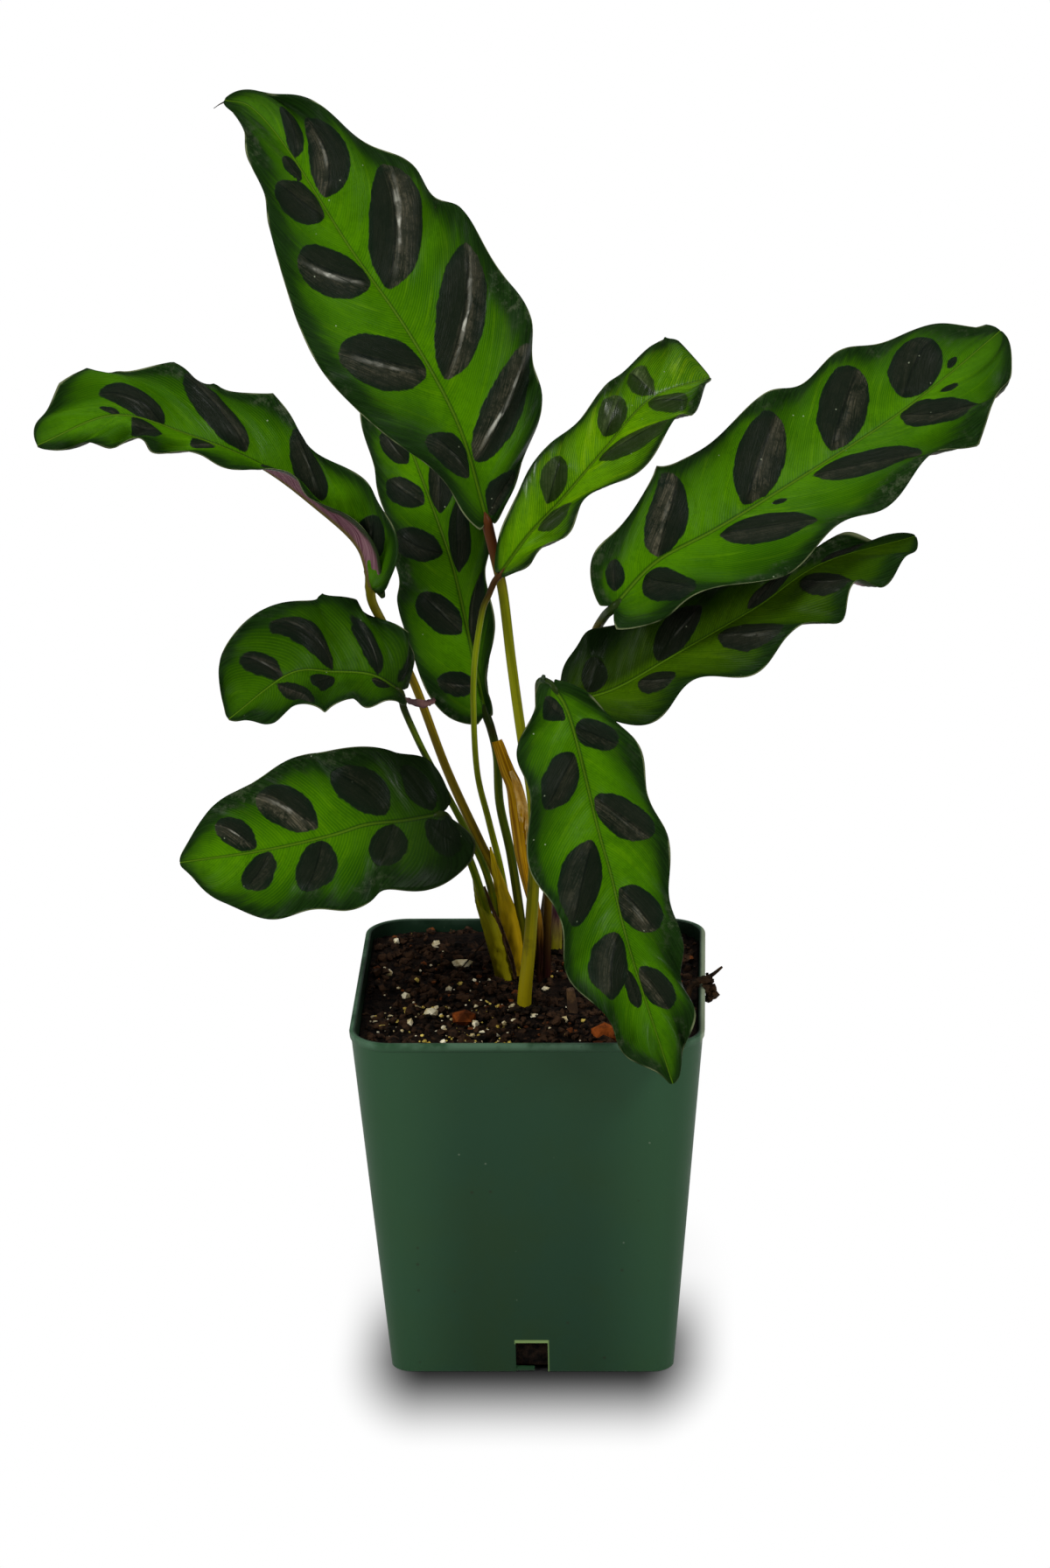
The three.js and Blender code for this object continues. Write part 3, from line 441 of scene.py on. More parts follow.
# Papery strips: the dry sheath beside the first stalk and its torn flap, sheaths that wrap the feet of
# the stalks with a dry edge, and the small lobes at the foot of leaf 3, curled and purple, and of
# leaf 9, upright. Each has a path, widths at even shares of it, cup, material, slot and seed.
STRIPS = {
    "dry_leaf_sheath": dict(
        path=[(-9.2, 13, 173), (-6.3, 11.5, 164.5), (-3.8, 10, 157.5), (-0.9, 6, 134.7), (2.3, 4, 119.5),
              (2.2, 5.6, 103), (2.2, 5.8, 90)],
        widths=(3.0, 4.2, 5.4, 5.2, 3.6, 2.4, 1.8, 1.6, 1.6), cup=0.6,
        material="dry_leaf", slot="dry_sheath", seed=41, stands_for=["dry_sheath"]),
    "dry_sheath_flap": dict(
        path=[(-5.2, 9.6, 165), (-3.6, 8.4, 161), (-2.2, 7.6, 156), (-1.6, 6.8, 150), (-1.4, 6, 144)],
        widths=(0.8, 2.4, 3.0, 2.2, 0.8), cup=-0.4,
        material="dry_edge", slot="dry_sheath", seed=42, steps=30),
    "green_foot_sheath": dict(
        path=[(-16.2, 4.6, 134), (-14.6, 5.2, 127), (-11.7, 6.4, 118.5), (-9.2, 7.6, 109), (-7.8, 8.2, 101),
              (-7.4, 8.6, 96)],
        widths=(0.5, 2.8, 4.6, 5.2, 5.2, 4.6), cup=0.5,
        material="green_sheath", slot="stalk", seed=43),
    "gold_foot_sheath": dict(
        path=[(-11.6, 12.4, 141), (-10.2, 12, 134), (-7.0, 11, 121), (-5.0, 10.4, 110), (-4.6, 10, 101),
              (-4.5, 10, 96)],
        widths=(0.4, 2.6, 5.0, 5.2, 4.6, 4.0), cup=0.5,
        material="gold_sheath", slot="stalk", seed=44),
    "dry_foot_edge": dict(
        path=[(-13.2, 5.3, 131.5), (-11.2, 5.6, 125), (-8.6, 6.2, 118), (-5.8, 6.8, 108), (-4.8, 7.2, 102)],
        widths=(0.5, 1.0, 1.2, 1.4, 1.0), cup=-0.3,
        material="dead_edge", slot="dry_sheath", seed=45),
    "curled_lobe": dict(
        path=[(-37.5, -9.8, 195), (-34, -9.8, 192.9), (-30, -9.4, 191.3), (-27.4, -9.2, 191.1),
              (-25.2, -9.2, 192.1)],
        widths=(1.0, 1.8, 2.8, 3.4, 2.8), cup=0.8,
        material="curled_lobe", slot="blade", seed=46, steps=24, across=(0, 1, 0)),
    "upright_lobe": dict(
        path=[(5.6, -17.5, 194.5), (5.2, -17.2, 197.5), (5.0, -16.8, 200), (5.6, -16.4, 202.3)],
        widths=(2.6, 3.4, 2.8, 0.6), cup=-0.3,
        material="upright_lobe", slot="blade", seed=47, steps=24),
}
STRIP_COLUMNS = 10
STRIP_HALF = 0.12
CRINKLE = dict(height=0.9, along=40, across=6, slant=3, cell=2.0)

# Round stems: path, radii at its start, middle and end, material and slot
RODS = {
    "notch_plate": dict(
        path=[(-NOTCH_HALF - 0.2, 0.75 - BASE_WIDTH / 2, 1), (-2, 0.75 - BASE_WIDTH / 2, 0.9),
              (0.7, 0.8 - BASE_WIDTH / 2, 0.9)],
        radii=(0.8, 0.75, 0.7), material="pot_plastic", slot="pot"),
    "rolled_shoot": dict(
        path=[(7.2, 30, 121), (6.4, 31, 114), (5.6, 31.6, 104), (5.4, 31.7, 92)],
        radii=(0.6, 2.3, 1.8), material="young_shoot", slot="shoot", stands_for=["new_shoot"]),
    "dry_stub": dict(
        path=[(11.6, -13.8, 107.4), (12.2, -13.6, 101), (12.4, -13.6, 92)],
        radii=(1.1, 1.5, 1.3), material="dry_stub", slot="dry_sheath", stands_for=["old_stalk"]),
    "root_thread": dict(
        path=[(-26.5, -1, 101.6), (-22, 3, 105), (-17, 8, 109.5), (-12.6, 10.5, 113.8)],
        radii=(0.3, 0.22, 0.16), material="twig_fibre", slot="twig", sides=6),
    "tip_hair": dict(
        path=[(-84.6, 58, 349.2), (-86.4, 58, 348.4), (-88.2, 58, 347.2)],
        radii=(0.3, 0.16, 0.1), material="twig_fibre", slot="blade", steps=8, sides=6),
    "fibre_twig": dict(
        path=[(54.8, -1, 109), (52, -3.5, 107.6), (49.2, -5.5, 106.9), (46, -7, 105.6), (44, -7.8, 98)],
        radii=(0.35, 0.8, 0.8), material="twig_fibre", slot="twig", stands_for=["rim_twig"]),
}

# Loose grains on the soil: material, slot, roughness of their shape, and how they are spread. The
# shapes are drawn from the seed after that of the places.
LITTER = {
    "peat_crumbs": ("peat_crumbs", "soil", 0.4, dict(count=3000, seed=11, sizes=(0.35, 1.7), skew=2.2)),
    "rusty_crumbs": ("rusty_crumbs", "bark", 0.4, dict(count=160, seed=15, sizes=(0.4, 1.2), skew=1.6)),
    "perlite_grit": ("perlite", "soil", 0.35,
                     dict(count=260, seed=21, sizes=(0.22, 0.85), skew=2.0, sink=0.1, corner_pull=0.6)),
    "amber_grit": ("amber_grains", "soil", 0.35,
                   dict(count=150, seed=25, sizes=(0.22, 1.0), skew=1.8, sink=0.1, corner_pull=0.75)),
}
FRONT_LEFT = (0.45, 0.4)
CORNER_ZONE = 8
CORNER_SHIFT = (0.9, 0.94)
SOIL_EDGE = 0.4
LUMP_FLATNESS = 0.75

# Large grains of perlite: place on the soil and radius
PERLITE_SEED = 23
PERLITE = [
    (-29, 36, 1.6), (-41, 37, 1.5), (-21, 21, 2.6), (-42, 14, 1.1), (-12, 9, 1.2), (4, 2, 1.1),
    (-5, -14, 1.3), (1.5, -17, 1.4), (-36, -3, 1.3), (-28, -15, 1.7), (-34, -22, 1.3), (-15, -25, 1.2),
    (-13, -30, 1.1), (8, -42, 1.2), (16, -43, 1.2), (30, 30, 1.2), (36, 10, 1.1), (24, 4, 1.0),
    (-24, 2, 1.0), (10, -22, 1.3),
]

# Bark chips: place, size and seed
BARK = {
    "bark_chip_1": ((-18.3, -21.5, 101.6), (3.8, 3.4, 2.6), 31),
    "bark_chip_2": ((21.7, -33, 101.2), (4.4, 3.2, 3.2), 32),
}

# Crumbs that hang in the twig, between two places, and crumbs heaped at the foot of the first stalk:
# how many, how far they stray and how large they are
CRUMB_SEED = 51
HANGING = dict(
    count=46, foot=(51.6, -4, 101.2), top=(50.0, -4.4, 107.2), stray=(0.8, 1.3, 0.5), sizes=(0.6, 1.4),
)
HEAP = dict(count=26, place=(-1.6, -15.4, 101.6), stray=(2.6, 1.0, 0.5), sizes=(0.6, 1.5))

# Lights: name, place, size and power
LIGHTS = [
    ("overhead", (0.1, 0.4, 1.8), 1.6, 9.0),
    ("left", (-1.4, -1.0, 1.3), 0.6, 22.0),
    ("right", (1.4, -0.9, 1.4), 0.6, 20.0),
]
LIT_POINT = (0, 0, 0.18)
ROOM_LIGHT = 0.16
FLOOR_HALF = 6000

# Shadow on the floor, in metres: half the side of its dark core, how far it fades out beyond that to
# the side and in front, and between which depths it fades out towards the back
SHADOW_CORE = 0.03
SHADOW_SIDE = 0.026
SHADOW_FRONT = 0.056
SHADOW_BACK = (0.036, -0.024)

# Camera: the angle, roll and distance found from the pot's corners in the photograph
CAMERA = dict(elevation=19.19, yaw=2.23, roll=-0.94, distance=1.5, target=(-0.00086, 0.0, 0.1644), lens=121.4)
SENSOR_WIDTH = 36

MATERIALS = {}


# Curves and surfaces

def cubic(values, k, w):
    """The Catmull-Rom cubic between values k + 1 and k + 2, at w from 0 to 1."""
    p0, p1, p2, p3 = (values[k + n] for n in range(4))
    t0, t1 = (p2 - p0) / 2, (p3 - p1) / 2
    return p1 + t0 * w + (3 * (p2 - p1) - 2 * t0 - t1) * w**2 + (2 * (p1 - p2) + t0 + t1) * w**3


def spline(points):
    """Even steps along a uniform Catmull-Rom curve through the points, with its length so far."""
    given = np.asarray(points, float)
    ends = np.vstack([2 * given[0] - given[1], given, 2 * given[-1] - given[-2]])
    place = np.linspace(0, len(given) - 1, LINE_STEPS + 1)
    k = np.minimum(place.astype(int), len(given) - 2)
    line = cubic(ends, k, (place - k)[:, None])
    length = np.concatenate([[0], np.cumsum(np.linalg.norm(np.diff(line, axis=0), axis=1))])
    return line, length


def along_line(line, length, share):
    """Points of a line at shares of its length."""
    place = np.clip(share, 0, 1) * length[-1]
    return np.stack([np.interp(place, length, line[:, axis]) for axis in range(3)], -1)


def unit(vectors):
    return vectors / np.linalg.norm(vectors, axis=-1, keepdims=True)


def through_three(values, s):
    """The parabola through three values given at 0, a half and 1."""
    a, b, c = (np.asarray(value, float) for value in values)
    if a.ndim:
        s = s[..., None]
    return a * (1 - s) * (1 - 2 * s) + b * 4 * s * (1 - s) + c * s * (2 * s - 1)


def half_width(half, s):
    """Half-width at s: a cubic through values at even angles of a half turn, so both ends are round."""
    values = np.array([-half[0], 0, *half, 0, -half[-1]], float)
    place = np.arccos(np.clip(1 - 2 * s, -1, 1)) / math.pi * (len(half) + 1)
    k = np.clip(place.astype(int), 0, len(half))
    return cubic(values, k, place - k)


def ripple_count(stations, v):
    """How many whole ripples lie before v, with the first and last spacing carried on past the ends."""
    at = np.asarray(stations, float)
    count = np.interp(v, at, np.arange(len(at)))
    count = np.where(v < at[0], (v - at[0]) / (at[1] - at[0]), count)
    return np.where(v > at[-1], len(at) - 1 + (v - at[-1]) / (at[-1] - at[-2]), count)


def smooth_step(x):
    x = np.clip(x, 0, 1)
    return x * x * (3 - 2 * x)


def swept(sweep, s):
    """How far the side veins sweep towards the tip at s."""
    return sweep * (SWEEP_BASE + SWEEP_GROWTH * s)


def blade_sheet(leaf, s, t):
    """Middle sheet of a blade. s runs from base to tip and t from the left margin, -1, to the right, 1.

    Each side is a curved strip of its half-width, lifted by its angle, with a cosine ripple that
    grows towards the margin. Also gives the side-vein coordinate, the half-width there and the
    length of the midrib.
    """
    line, length = spline(leaf["midrib"])
    middle = along_line(line, length, s)
    ahead, behind = along_line(line, length, s + TANGENT_STEP), along_line(line, length, s - TANGENT_STEP)
    tangent = unit(ahead - behind)
    across = unit(np.cross(tangent, through_three(leaf["face"], s)))
    up = np.cross(across, tangent)
    out = np.abs(t)
    right = t > 0

    def of_side(value):
        return np.where(right, value(leaf["right"]), value(leaf["left"]))

    def own(key):
        return of_side(lambda given: given[key])

    half = of_side(lambda given: half_width(given["half"], s)) + BASE_HALF * (1 - s) + TIP_HALF * s
    sweep = swept(own("sweep"), s)
    vein = s - sweep * out**VEIN_BEND
    count = of_side(lambda given: ripple_count(given["ripples"], vein + sweep))
    calm = smooth_step(s / RIPPLE_FADE) * smooth_step((1 - s) / RIPPLE_FADE)
    ripple = np.cos(2 * math.pi * count) * calm
    lift = np.radians(of_side(lambda given: through_three(given["lift"], s)) * (1 - own("curl") * out))
    reach = half * out + own("scallop") * out**2 * ripple
    rise = reach * np.sin(lift) + own("wave") * out**WAVE_POWER * ripple
    lobe = np.minimum(reach, own("lobe"))
    back = lobe * out**LOBE_POWER * np.clip(1 - s / LOBE_LENGTH, 0, 1) ** 2
    aside = np.sign(t) * reach * np.cos(lift)
    points = middle + aside[..., None] * across + rise[..., None] * up - back[..., None] * tangent
    return points, vein, half, length[-1]


def sheet_normals(points):
    """Unit normals of a grid of points, from the differences along both directions."""
    along = np.gradient(points, axis=0)
    across = np.gradient(points, axis=1)
    normals = np.cross(across, along)
    size = np.linalg.norm(normals, axis=-1, keepdims=True)
    return normals / np.maximum(size, 1e-12)


def grid_faces(rows, columns, start=0, flip=False, closed=False):
    """Quads between neighbours of a grid. A closed grid joins its last column to its first."""
    i = np.arange(rows - 1)[:, None]
    j = np.arange(columns if closed else columns - 1)[None, :]
    a = i * columns + j
    b = i * columns + (j + 1) % columns
    quads = np.stack([a, b, b + columns, a + columns], -1).reshape(-1, 4) + start
    return quads[:, ::-1] if flip else quads


def rim_faces(rows, columns, below):
    """Quads that join the outer edge of one grid to that of the same grid below it."""
    edge = np.concatenate([
        np.arange(columns - 1),
        np.arange(rows - 1) * columns + columns - 1,
        np.arange(rows * columns - 1, (rows - 1) * columns, -1),
        np.arange((rows - 1) * columns, 0, -columns),
    ])
    after = np.roll(edge, -1)
    return np.stack([edge, edge + below, after + below, after], -1)


def two_faced(top, low):
    """Points and faces of a thin closed sheet, from the grids of its upper and its lower face."""
    rows, columns = top.shape[:2]
    count = rows * columns
    faces = np.concatenate([
        grid_faces(rows, columns),
        grid_faces(rows, columns, start=count, flip=True),
        rim_faces(rows, columns, count),
    ])
    return np.concatenate([top.reshape(-1, 3), low.reshape(-1, 3)]), faces


def add_mesh(name, points, faces):
    """A mesh object at the origin, from points in millimetres."""
    mesh = bpy.data.meshes.new(name)
    mesh.from_pydata((np.asarray(points, float) * MM).tolist(), [], [list(face) for face in faces])
    mesh.update()
    item = bpy.data.objects.new(name, mesh)
    bpy.context.scene.collection.objects.link(item)
    return item


def shade_smooth(mesh):
    mesh.polygons.foreach_set("use_smooth", np.ones(len(mesh.polygons), bool))


def make_piece(name, points, faces, material, stands_for=(), smooth=True, attributes=None, uv=None):
    """A piece that rides on the root body, with fields for its material at each point."""
    piece = add_mesh(name, points, faces)
    mesh = piece.data
    if smooth:
        shade_smooth(mesh)
    for label, values in (attributes or {}).items():
        layer = mesh.attributes.new(label, "FLOAT", "POINT")
        layer.data.foreach_set("value", np.asarray(values, np.float32).ravel())
    if uv is not None:
        corner = np.zeros(len(mesh.loops), np.int32)
        mesh.loops.foreach_get("vertex_index", corner)
        layer = mesh.uv_layers.new(name="UVMap")
        layer.data.foreach_set("uv", np.asarray(uv, np.float32)[corner].ravel())
    mesh.materials.append(MATERIALS[material])
    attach(piece, "root")
    if stands_for:
        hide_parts(*stands_for)
    return piece


# Materials

def linear(tone):
    """A screen colour from 0 to 255 as the linear colour that a shader takes."""
    shares = np.array(tone, float) / 255
    values = np.where(shares <= 0.04045, shares / 12.92, ((shares + 0.055) / 1.055) ** 2.4)
    return (*[float(value) for value in values], 1.0)


class Wiring:
    """Short calls for adding and joining the nodes of a material or a node group."""

    def __init__(self, tree):
        self.tree = tree

    def feed(self, socket, value):
        """Joins a socket to another or sets it, with a colour given as three numbers from 0 to 255."""
        if isinstance(value, bpy.types.NodeSocket):
            self.tree.links.new(value, socket)
        elif socket.type == "RGBA" and len(value) == 3:
            socket.default_value = linear(value)
        else:
            socket.default_value = value

    def add(self, kind, settings=None, **inputs):
        """A node with its settings. An input is named, or _ and its number where names repeat."""
        node = self.tree.nodes.new("ShaderNode" + kind)
        for key, value in (settings or {}).items():
            setattr(node, key, value)
        for key, value in inputs.items():
            socket = int(key[1:]) if key[0] == "_" else key.replace("_", " ")
            self.feed(node.inputs[socket], value)
        return node

    def place(self, group, **inputs):
        """A node group placed here. Gives its outputs."""
        return self.add("Group", dict(node_tree=group), **inputs).outputs

    def math(self, operation, a, b=0.0, c=0.0):
        return self.add("Math", dict(operation=operation), _0=a, _1=b, _2=c).outputs[0]

    def times(self, a, b):
        return self.math("MULTIPLY", a, b)

    def times_plus(self, a, b, c):
        return self.math("MULTIPLY_ADD", a, b, c)

    def plus(self, a, b):
        return self.math("ADD", a, b)

    def minus(self, a, b):
        return self.math("SUBTRACT", a, b)

    def absolute(self, a):
        return self.math("ABSOLUTE", a)

    def mix(self, share, a, b):
        return self.add("Mix", dict(data_type="RGBA"), _0=share, _6=a, _7=b).outputs[2]

    def layers(self, base, *layers):
        """The base under colours laid over it in turn, each as strongly as its mask times its weight."""
        for mask, weight, colour in layers:
            base = self.mix(self.times(mask, weight), base, colour)
        return base

    def ramp(self, value, low, high):
        """0 at low and 1 at high, eased in between."""
        settings = dict(interpolation_type="SMOOTHSTEP", clamp=True)
        return self.add("MapRange", settings, Value=value, From_Min=low, From_Max=high).outputs[0]

    def spot(self):
        """The place on the object."""
        return self.add("TexCoord").outputs["Object"]

    def noise(self, scale, detail=3.0, rough=0.5, vector=None):
        if vector is None:
            vector = self.spot()
        return self.add("TexNoise", Vector=vector, Scale=scale, Detail=detail, Roughness=rough).outputs["Fac"]

    def attribute(self, name):
        return self.add("Attribute", dict(attribute_name=name)).outputs["Fac"]

    def bump(self, height, strength, distance):
        return self.add("Bump", Height=height, Strength=strength, Distance=distance).outputs["Normal"]


def new_group(name, inputs, outputs):
    """A node group with named sockets. Gives the group, its wiring, its inputs and its outputs."""
    kinds = dict(value="NodeSocketFloat", colour="NodeSocketColor")
    group = bpy.data.node_groups.new(name, "ShaderNodeTree")
    for way, sockets in (("INPUT", inputs), ("OUTPUT", outputs)):
        for label, kind in sockets.items():
            group.interface.new_socket(name=label, in_out=way, socket_type=kinds[kind])
    given = group.nodes.new("NodeGroupInput").outputs
    made = group.nodes.new("NodeGroupOutput").inputs
    return group, Wiring(group), given, made


def new_material(name, specular):
    """A material with one Principled shader. Gives the material, its wiring and the shader."""
    material = bpy.data.materials.new(name)
    material.use_nodes = True
    shader = material.node_tree.nodes["Principled BSDF"]
    shader.inputs["Specular IOR Level"].default_value = specular
    MATERIALS[name] = material
    return material, Wiring(material.node_tree), shader


def finish_material(w, shader, colour, rough, normal):
    w.feed(shader.inputs["Base Color"], colour)
    w.feed(shader.inputs["Roughness"], rough)
    w.feed(shader.inputs["Normal"], normal)


def two_tone_group():
    """Cloudy noise between two colours, with finer noise as a height."""
    group, w, given, made = new_group(
        "two_tone", dict(First="colour", Second="colour", Scale="value", Low="value", High="value"),
        dict(Colour="colour", Height="value"))
    share = w.ramp(w.noise(given["Scale"], 5.0, 0.65), given["Low"], given["High"])
    w.feed(made["Colour"], w.mix(share, given["First"], given["Second"]))
    w.feed(made["Height"], w.noise(w.times(given["Scale"], 4.0), 3.0, 0.6))
    return group


def specks_group():
    """Tiny round specks in scattered patches."""
    group, w, given, made = new_group("specks", dict(Scale="value", Radius="value"), dict(Mask="value"))
    cells = w.add("TexVoronoi", dict(feature="F1"), Vector=w.spot(), Scale=given["Scale"])
    dot = w.ramp(cells.outputs["Distance"], given["Radius"], w.times(given["Radius"], 0.4))
    chosen = w.add("SeparateColor", _0=cells.outputs["Color"]).outputs[0]
    w.feed(made["Mask"], w.times(dot, w.ramp(chosen, 0.86, 0.9)))
    return group


def vein_group():
    """Streaks that run outwards along the side veins, and the fine veins themselves."""
    group, w, given, made = new_group("side_veins", {}, dict(Fine="value", Streak="value", Thread="value"))
    along = w.attribute("vein")
    out = w.attribute("rib")
    stray = w.times(w.noise(45, 2, 0.5), 2.6)
    wave = w.times(w.plus(along, stray), 2 * math.pi / VEIN_SPACING)
    w.feed(made["Fine"], w.times_plus(w.math("SINE", wave), 0.5, 0.5))
    for label, near, far in (("Streak", 0.5, 0.05), ("Thread", 1.6, 0.11)):
        vector = w.add("CombineXYZ", X=w.times(along, near), Y=w.times(out, far)).outputs[0]
        w.feed(made[label], w.noise(1.0, 3, 0.55, vector))
    return group


def leaf_fields(w, veins):
    """What the leaf skin works from: the blade's own fields, its veins, a wide noise and a fine grain."""
    names = ("oval", "margin", "band", "rib", "fold", "crease", "light", "shine", "tip", "upper", "dusk")
    field = {name: w.attribute(name) for name in names}
    vein = w.place(veins)
    field.update(fine=vein["Fine"], streak=vein["Streak"], thread=vein["Thread"], wide=w.noise(38, 2, 0.5))
    field["grain"] = w.times_plus(w.noise(1100, 3, 0.7), 0.5, w.times(w.noise(330, 3, 0.6), 0.5))
    return SimpleNamespace(**field)


def leaf_ground(w, f, given):
    """Between the ovals: yellower near the midrib, deeper outwards, mottled and finely veined."""
    depth = w.times_plus(w.ramp(f.rib, 2.0, 17.0), 0.5, w.times(w.ramp(f.wide, 0.34, 0.66), 0.5))
    halo = w.ramp(w.times_plus(w.minus(f.wide, 0.5), -3.0, f.band), 3.0, 0.6)
    return w.layers(
        w.mix(depth, given["Green"], given["Deep"]),
        (w.ramp(w.noise(85, 4, 0.65), 0.48, 0.64), 0.45, given["Deep"]),
        (w.ramp(f.streak, 0.5, 0.75), 0.34, given["Glow"]),
        (w.math("POWER", f.fine, 3.0), 0.3, given["Glow"]),
        (w.ramp(f.grain, 0.48, 0.62), 0.3, given["Deep"]),
        (halo, 0.5, (20, 48, 4)))


def leaf_margin(w, f, ground, dark_green):
    """The dark margin, feathered along the side veins, with grey patches of painted sheen in places, and the
    dark tip.
    """
    ragged = w.times_plus(w.minus(f.streak, 0.5), 1.5, w.minus(f.thread, 0.5))
    ragged = w.times_plus(w.minus(f.wide, 0.5), 2.2, ragged)
    rim = w.ramp(w.minus(f.band, w.times(ragged, 0.7)), 1.2, 0.35)
    # Grey patches of painted sheen in the margin
    wear_and_sheen = w.times(w.ramp(w.noise(420, 4, 0.7), 0.46, 0.7), w.ramp(f.wide, 0.5, 0.66))
    return w.layers(
        ground, (rim, 0.94, dark_green), (w.times(rim, wear_and_sheen), 0.4, (90, 98, 74)), (f.tip, 0.4, dark_green))


def oval_inside(w, f):
    """1 inside the dark ovals, with a slightly ragged edge."""
    ragged = w.times_plus(w.noise(520, 3, 0.6), 0.8, w.times(f.thread, 0.7))
    ragged = w.times_plus(w.noise(170, 2, 0.5), 2.0, ragged)
    return w.ramp(w.plus(f.oval, w.minus(ragged, 1.75)), -0.28, 0.28)


def oval_glint(w, f):
    """A painted highlight: the bright broken streak beside the crease of an oval."""
    centre = w.times_plus(w.minus(w.noise(70, 1, 0.5), 0.5), 0.35, 0.16)
    width = w.times_plus(w.noise(130, 2, 0.5), 0.34, -0.05)
    beside = w.ramp(w.absolute(w.minus(f.fold, centre)), width, 0.01)
    broken = w.times_plus(w.ramp(w.noise(190, 3, 0.6), 0.42, 0.58), 0.8, 0.2)
    broken = w.times(broken, w.ramp(f.thread, 0.3, 0.5))
    return w.times(w.times(beside, broken), f.shine)


def oval_colour(w, f, given):
    """A dark oval, with painted shade along its crease, a grey-brown painted sheen on one side of it, and a
    painted highlight as a bright streak.
    """
    # The grey-brown half is a painted sheen on the side of the crease that faces the light
    lit = w.times(w.ramp(f.fold, -0.15, 0.08), w.ramp(f.fold, 1.05, 0.2))
    lit = w.times_plus(w.times(lit, f.light), 1.25, 0.07)
    cloud = w.ramp(w.noise(110, 4, 0.65), 0.36, 0.62)
    fleck = w.times(w.ramp(f.thread, 0.4, 0.62), w.ramp(f.grain, 0.42, 0.58))
    sheen = w.times_plus(fleck, 0.75, w.times(cloud, 0.3))
    patch = w.layers(given["Oval"], (w.ramp(f.oval, 0.5, 2.6), 0.25, (32, 28, 24)))
    patch = w.mix(w.math("MINIMUM", w.times(sheen, lit), 1.0), patch, given["Sheen"])
    # Painted shade along the crease
    crease_shade = w.times(w.ramp(w.absolute(f.fold), 0.08, 0.015), f.crease)
    patch = w.layers(patch, (crease_shade, 0.7, (10, 18, 12)))
    # Painted highlight: the bright streak laid over the oval
    return w.mix(w.math("MINIMUM", w.times(oval_glint(w, f), 1.5), 0.92), patch, (192, 192, 178))


def leaf_lines(w, f, top, dark_green, specks):
    """A light line at the edge, a painted highlight where light catches the margin, the midrib between dark
    lines, and dust.
    """
    # Painted highlight along the margin
    edge = w.times(w.ramp(f.margin, 0.34, 0.12), w.ramp(w.noise(90, 2, 0.5), 0.42, 0.6))
    return w.layers(
        top,
        (edge, 0.6, (142, 150, 108)),
        (w.ramp(f.rib, 1.1, 0.6), 0.6, dark_green),
        (w.ramp(f.rib, 0.6, 0.25), 0.9, (78, 112, 14)),
        (w.place(specks, Scale=330.0, Radius=0.1)["Mask"], 0.6, (170, 180, 150)))


def leaf_underside(w, f):
    """Dusty purple, greener at the margin and the midrib."""
    under = w.mix(w.ramp(f.thread, 0.35, 0.7), (96, 58, 70), (140, 106, 112))
    under = w.mix(w.ramp(f.margin, 3.4, 1.2), under, (34, 46, 20))
    return w.mix(w.ramp(f.rib, 1.6, 0.6), under, (98, 86, 44))


def leaf_group(veins, specks):
    """The upper and lower face of a blade, with its roughness, relief and where it is glossy."""
    group, w, given, made = new_group(
        "leaf_skin",
        dict(Green="colour", Deep="colour", Glow="colour", Oval="colour", Sheen="colour"),
        dict(Colour="colour", Roughness="value", Height="value", Coat="value"))
    f = leaf_fields(w, veins)
    dark_green = w.mix(w.ramp(f.thread, 0.35, 0.65), (12, 30, 8), (24, 48, 13))
    top = leaf_margin(w, f, leaf_ground(w, f, given), dark_green)
    inside = oval_inside(w, f)
    top = leaf_lines(w, f, w.mix(inside, top, oval_colour(w, f, given)), dark_green, specks)
    colour = w.mix(w.ramp(f.upper, 0.3, 0.7), leaf_underside(w, f), top)
    ridge = w.times(w.ramp(w.absolute(f.fold), 0.3, 0.0), f.crease)
    height = w.times_plus(w.times_plus(inside, 1.8, 0.9), f.thread, w.times(f.fine, 0.25))
    w.feed(made["Colour"], w.layers(colour, (f.dusk, 0.68, (14, 24, 8))))
    w.feed(made["Roughness"], w.times_plus(f.thread, 0.2, w.times_plus(inside, -0.06, 0.26)))
    w.feed(made["Height"], w.times_plus(ridge, 2.2, height))
    w.feed(made["Coat"], w.times(w.ramp(f.thread, 0.42, 0.7), w.ramp(f.wide, 0.46, 0.66)))
    return group


def blade_material(name, skin, gloss, **tones):
    """A blade finish: the leaf skin with its own greens, over a satin shader with glossy streaks."""
    material, w, shader = new_material(name, specular=0.025)
    made = w.place(skin, **{label.capitalize(): tone for label, tone in tones.items()})
    shader.inputs["Coat Roughness"].default_value = 0.22
    w.feed(shader.inputs["Coat Weight"], w.times(made["Coat"], gloss))
    finish_material(w, shader, made["Colour"], made["Roughness"], w.bump(made["Height"], 0.5, 0.22 * MM))


def stalk_group():
    """A stalk: streaks along it between two tones, another tone at the foot, and one below the blade."""
    group, w, given, made = new_group(
        "stalk_skin", dict(First="colour", Second="colour", Foot="colour", Joint="colour"),
        dict(Colour="colour", Height="value"))
    around = w.add("UVMap").outputs[0]
    stretched = w.add("VectorMath", dict(operation="MULTIPLY"), _0=around, _1=(9, 2.5, 1)).outputs[0]
    streak = w.noise(1.0, 3, 0.6, stretched)
    colour = w.mix(w.ramp(streak, 0.38, 0.64), given["First"], given["Second"])
    foot = w.times_plus(w.minus(streak, 0.5), 0.8, w.attribute("foot"))
    colour = w.mix(w.ramp(foot, 0.2, 0.95), colour, given["Foot"])
    colour = w.mix(w.attribute("joint"), colour, given["Joint"])
    blotch = w.ramp(w.noise(90, 4, 0.6), 0.56, 0.72)
    w.feed(made["Colour"], w.layers(colour, (blotch, 0.45, (62, 44, 16))))
    w.feed(made["Height"], streak)
    return group


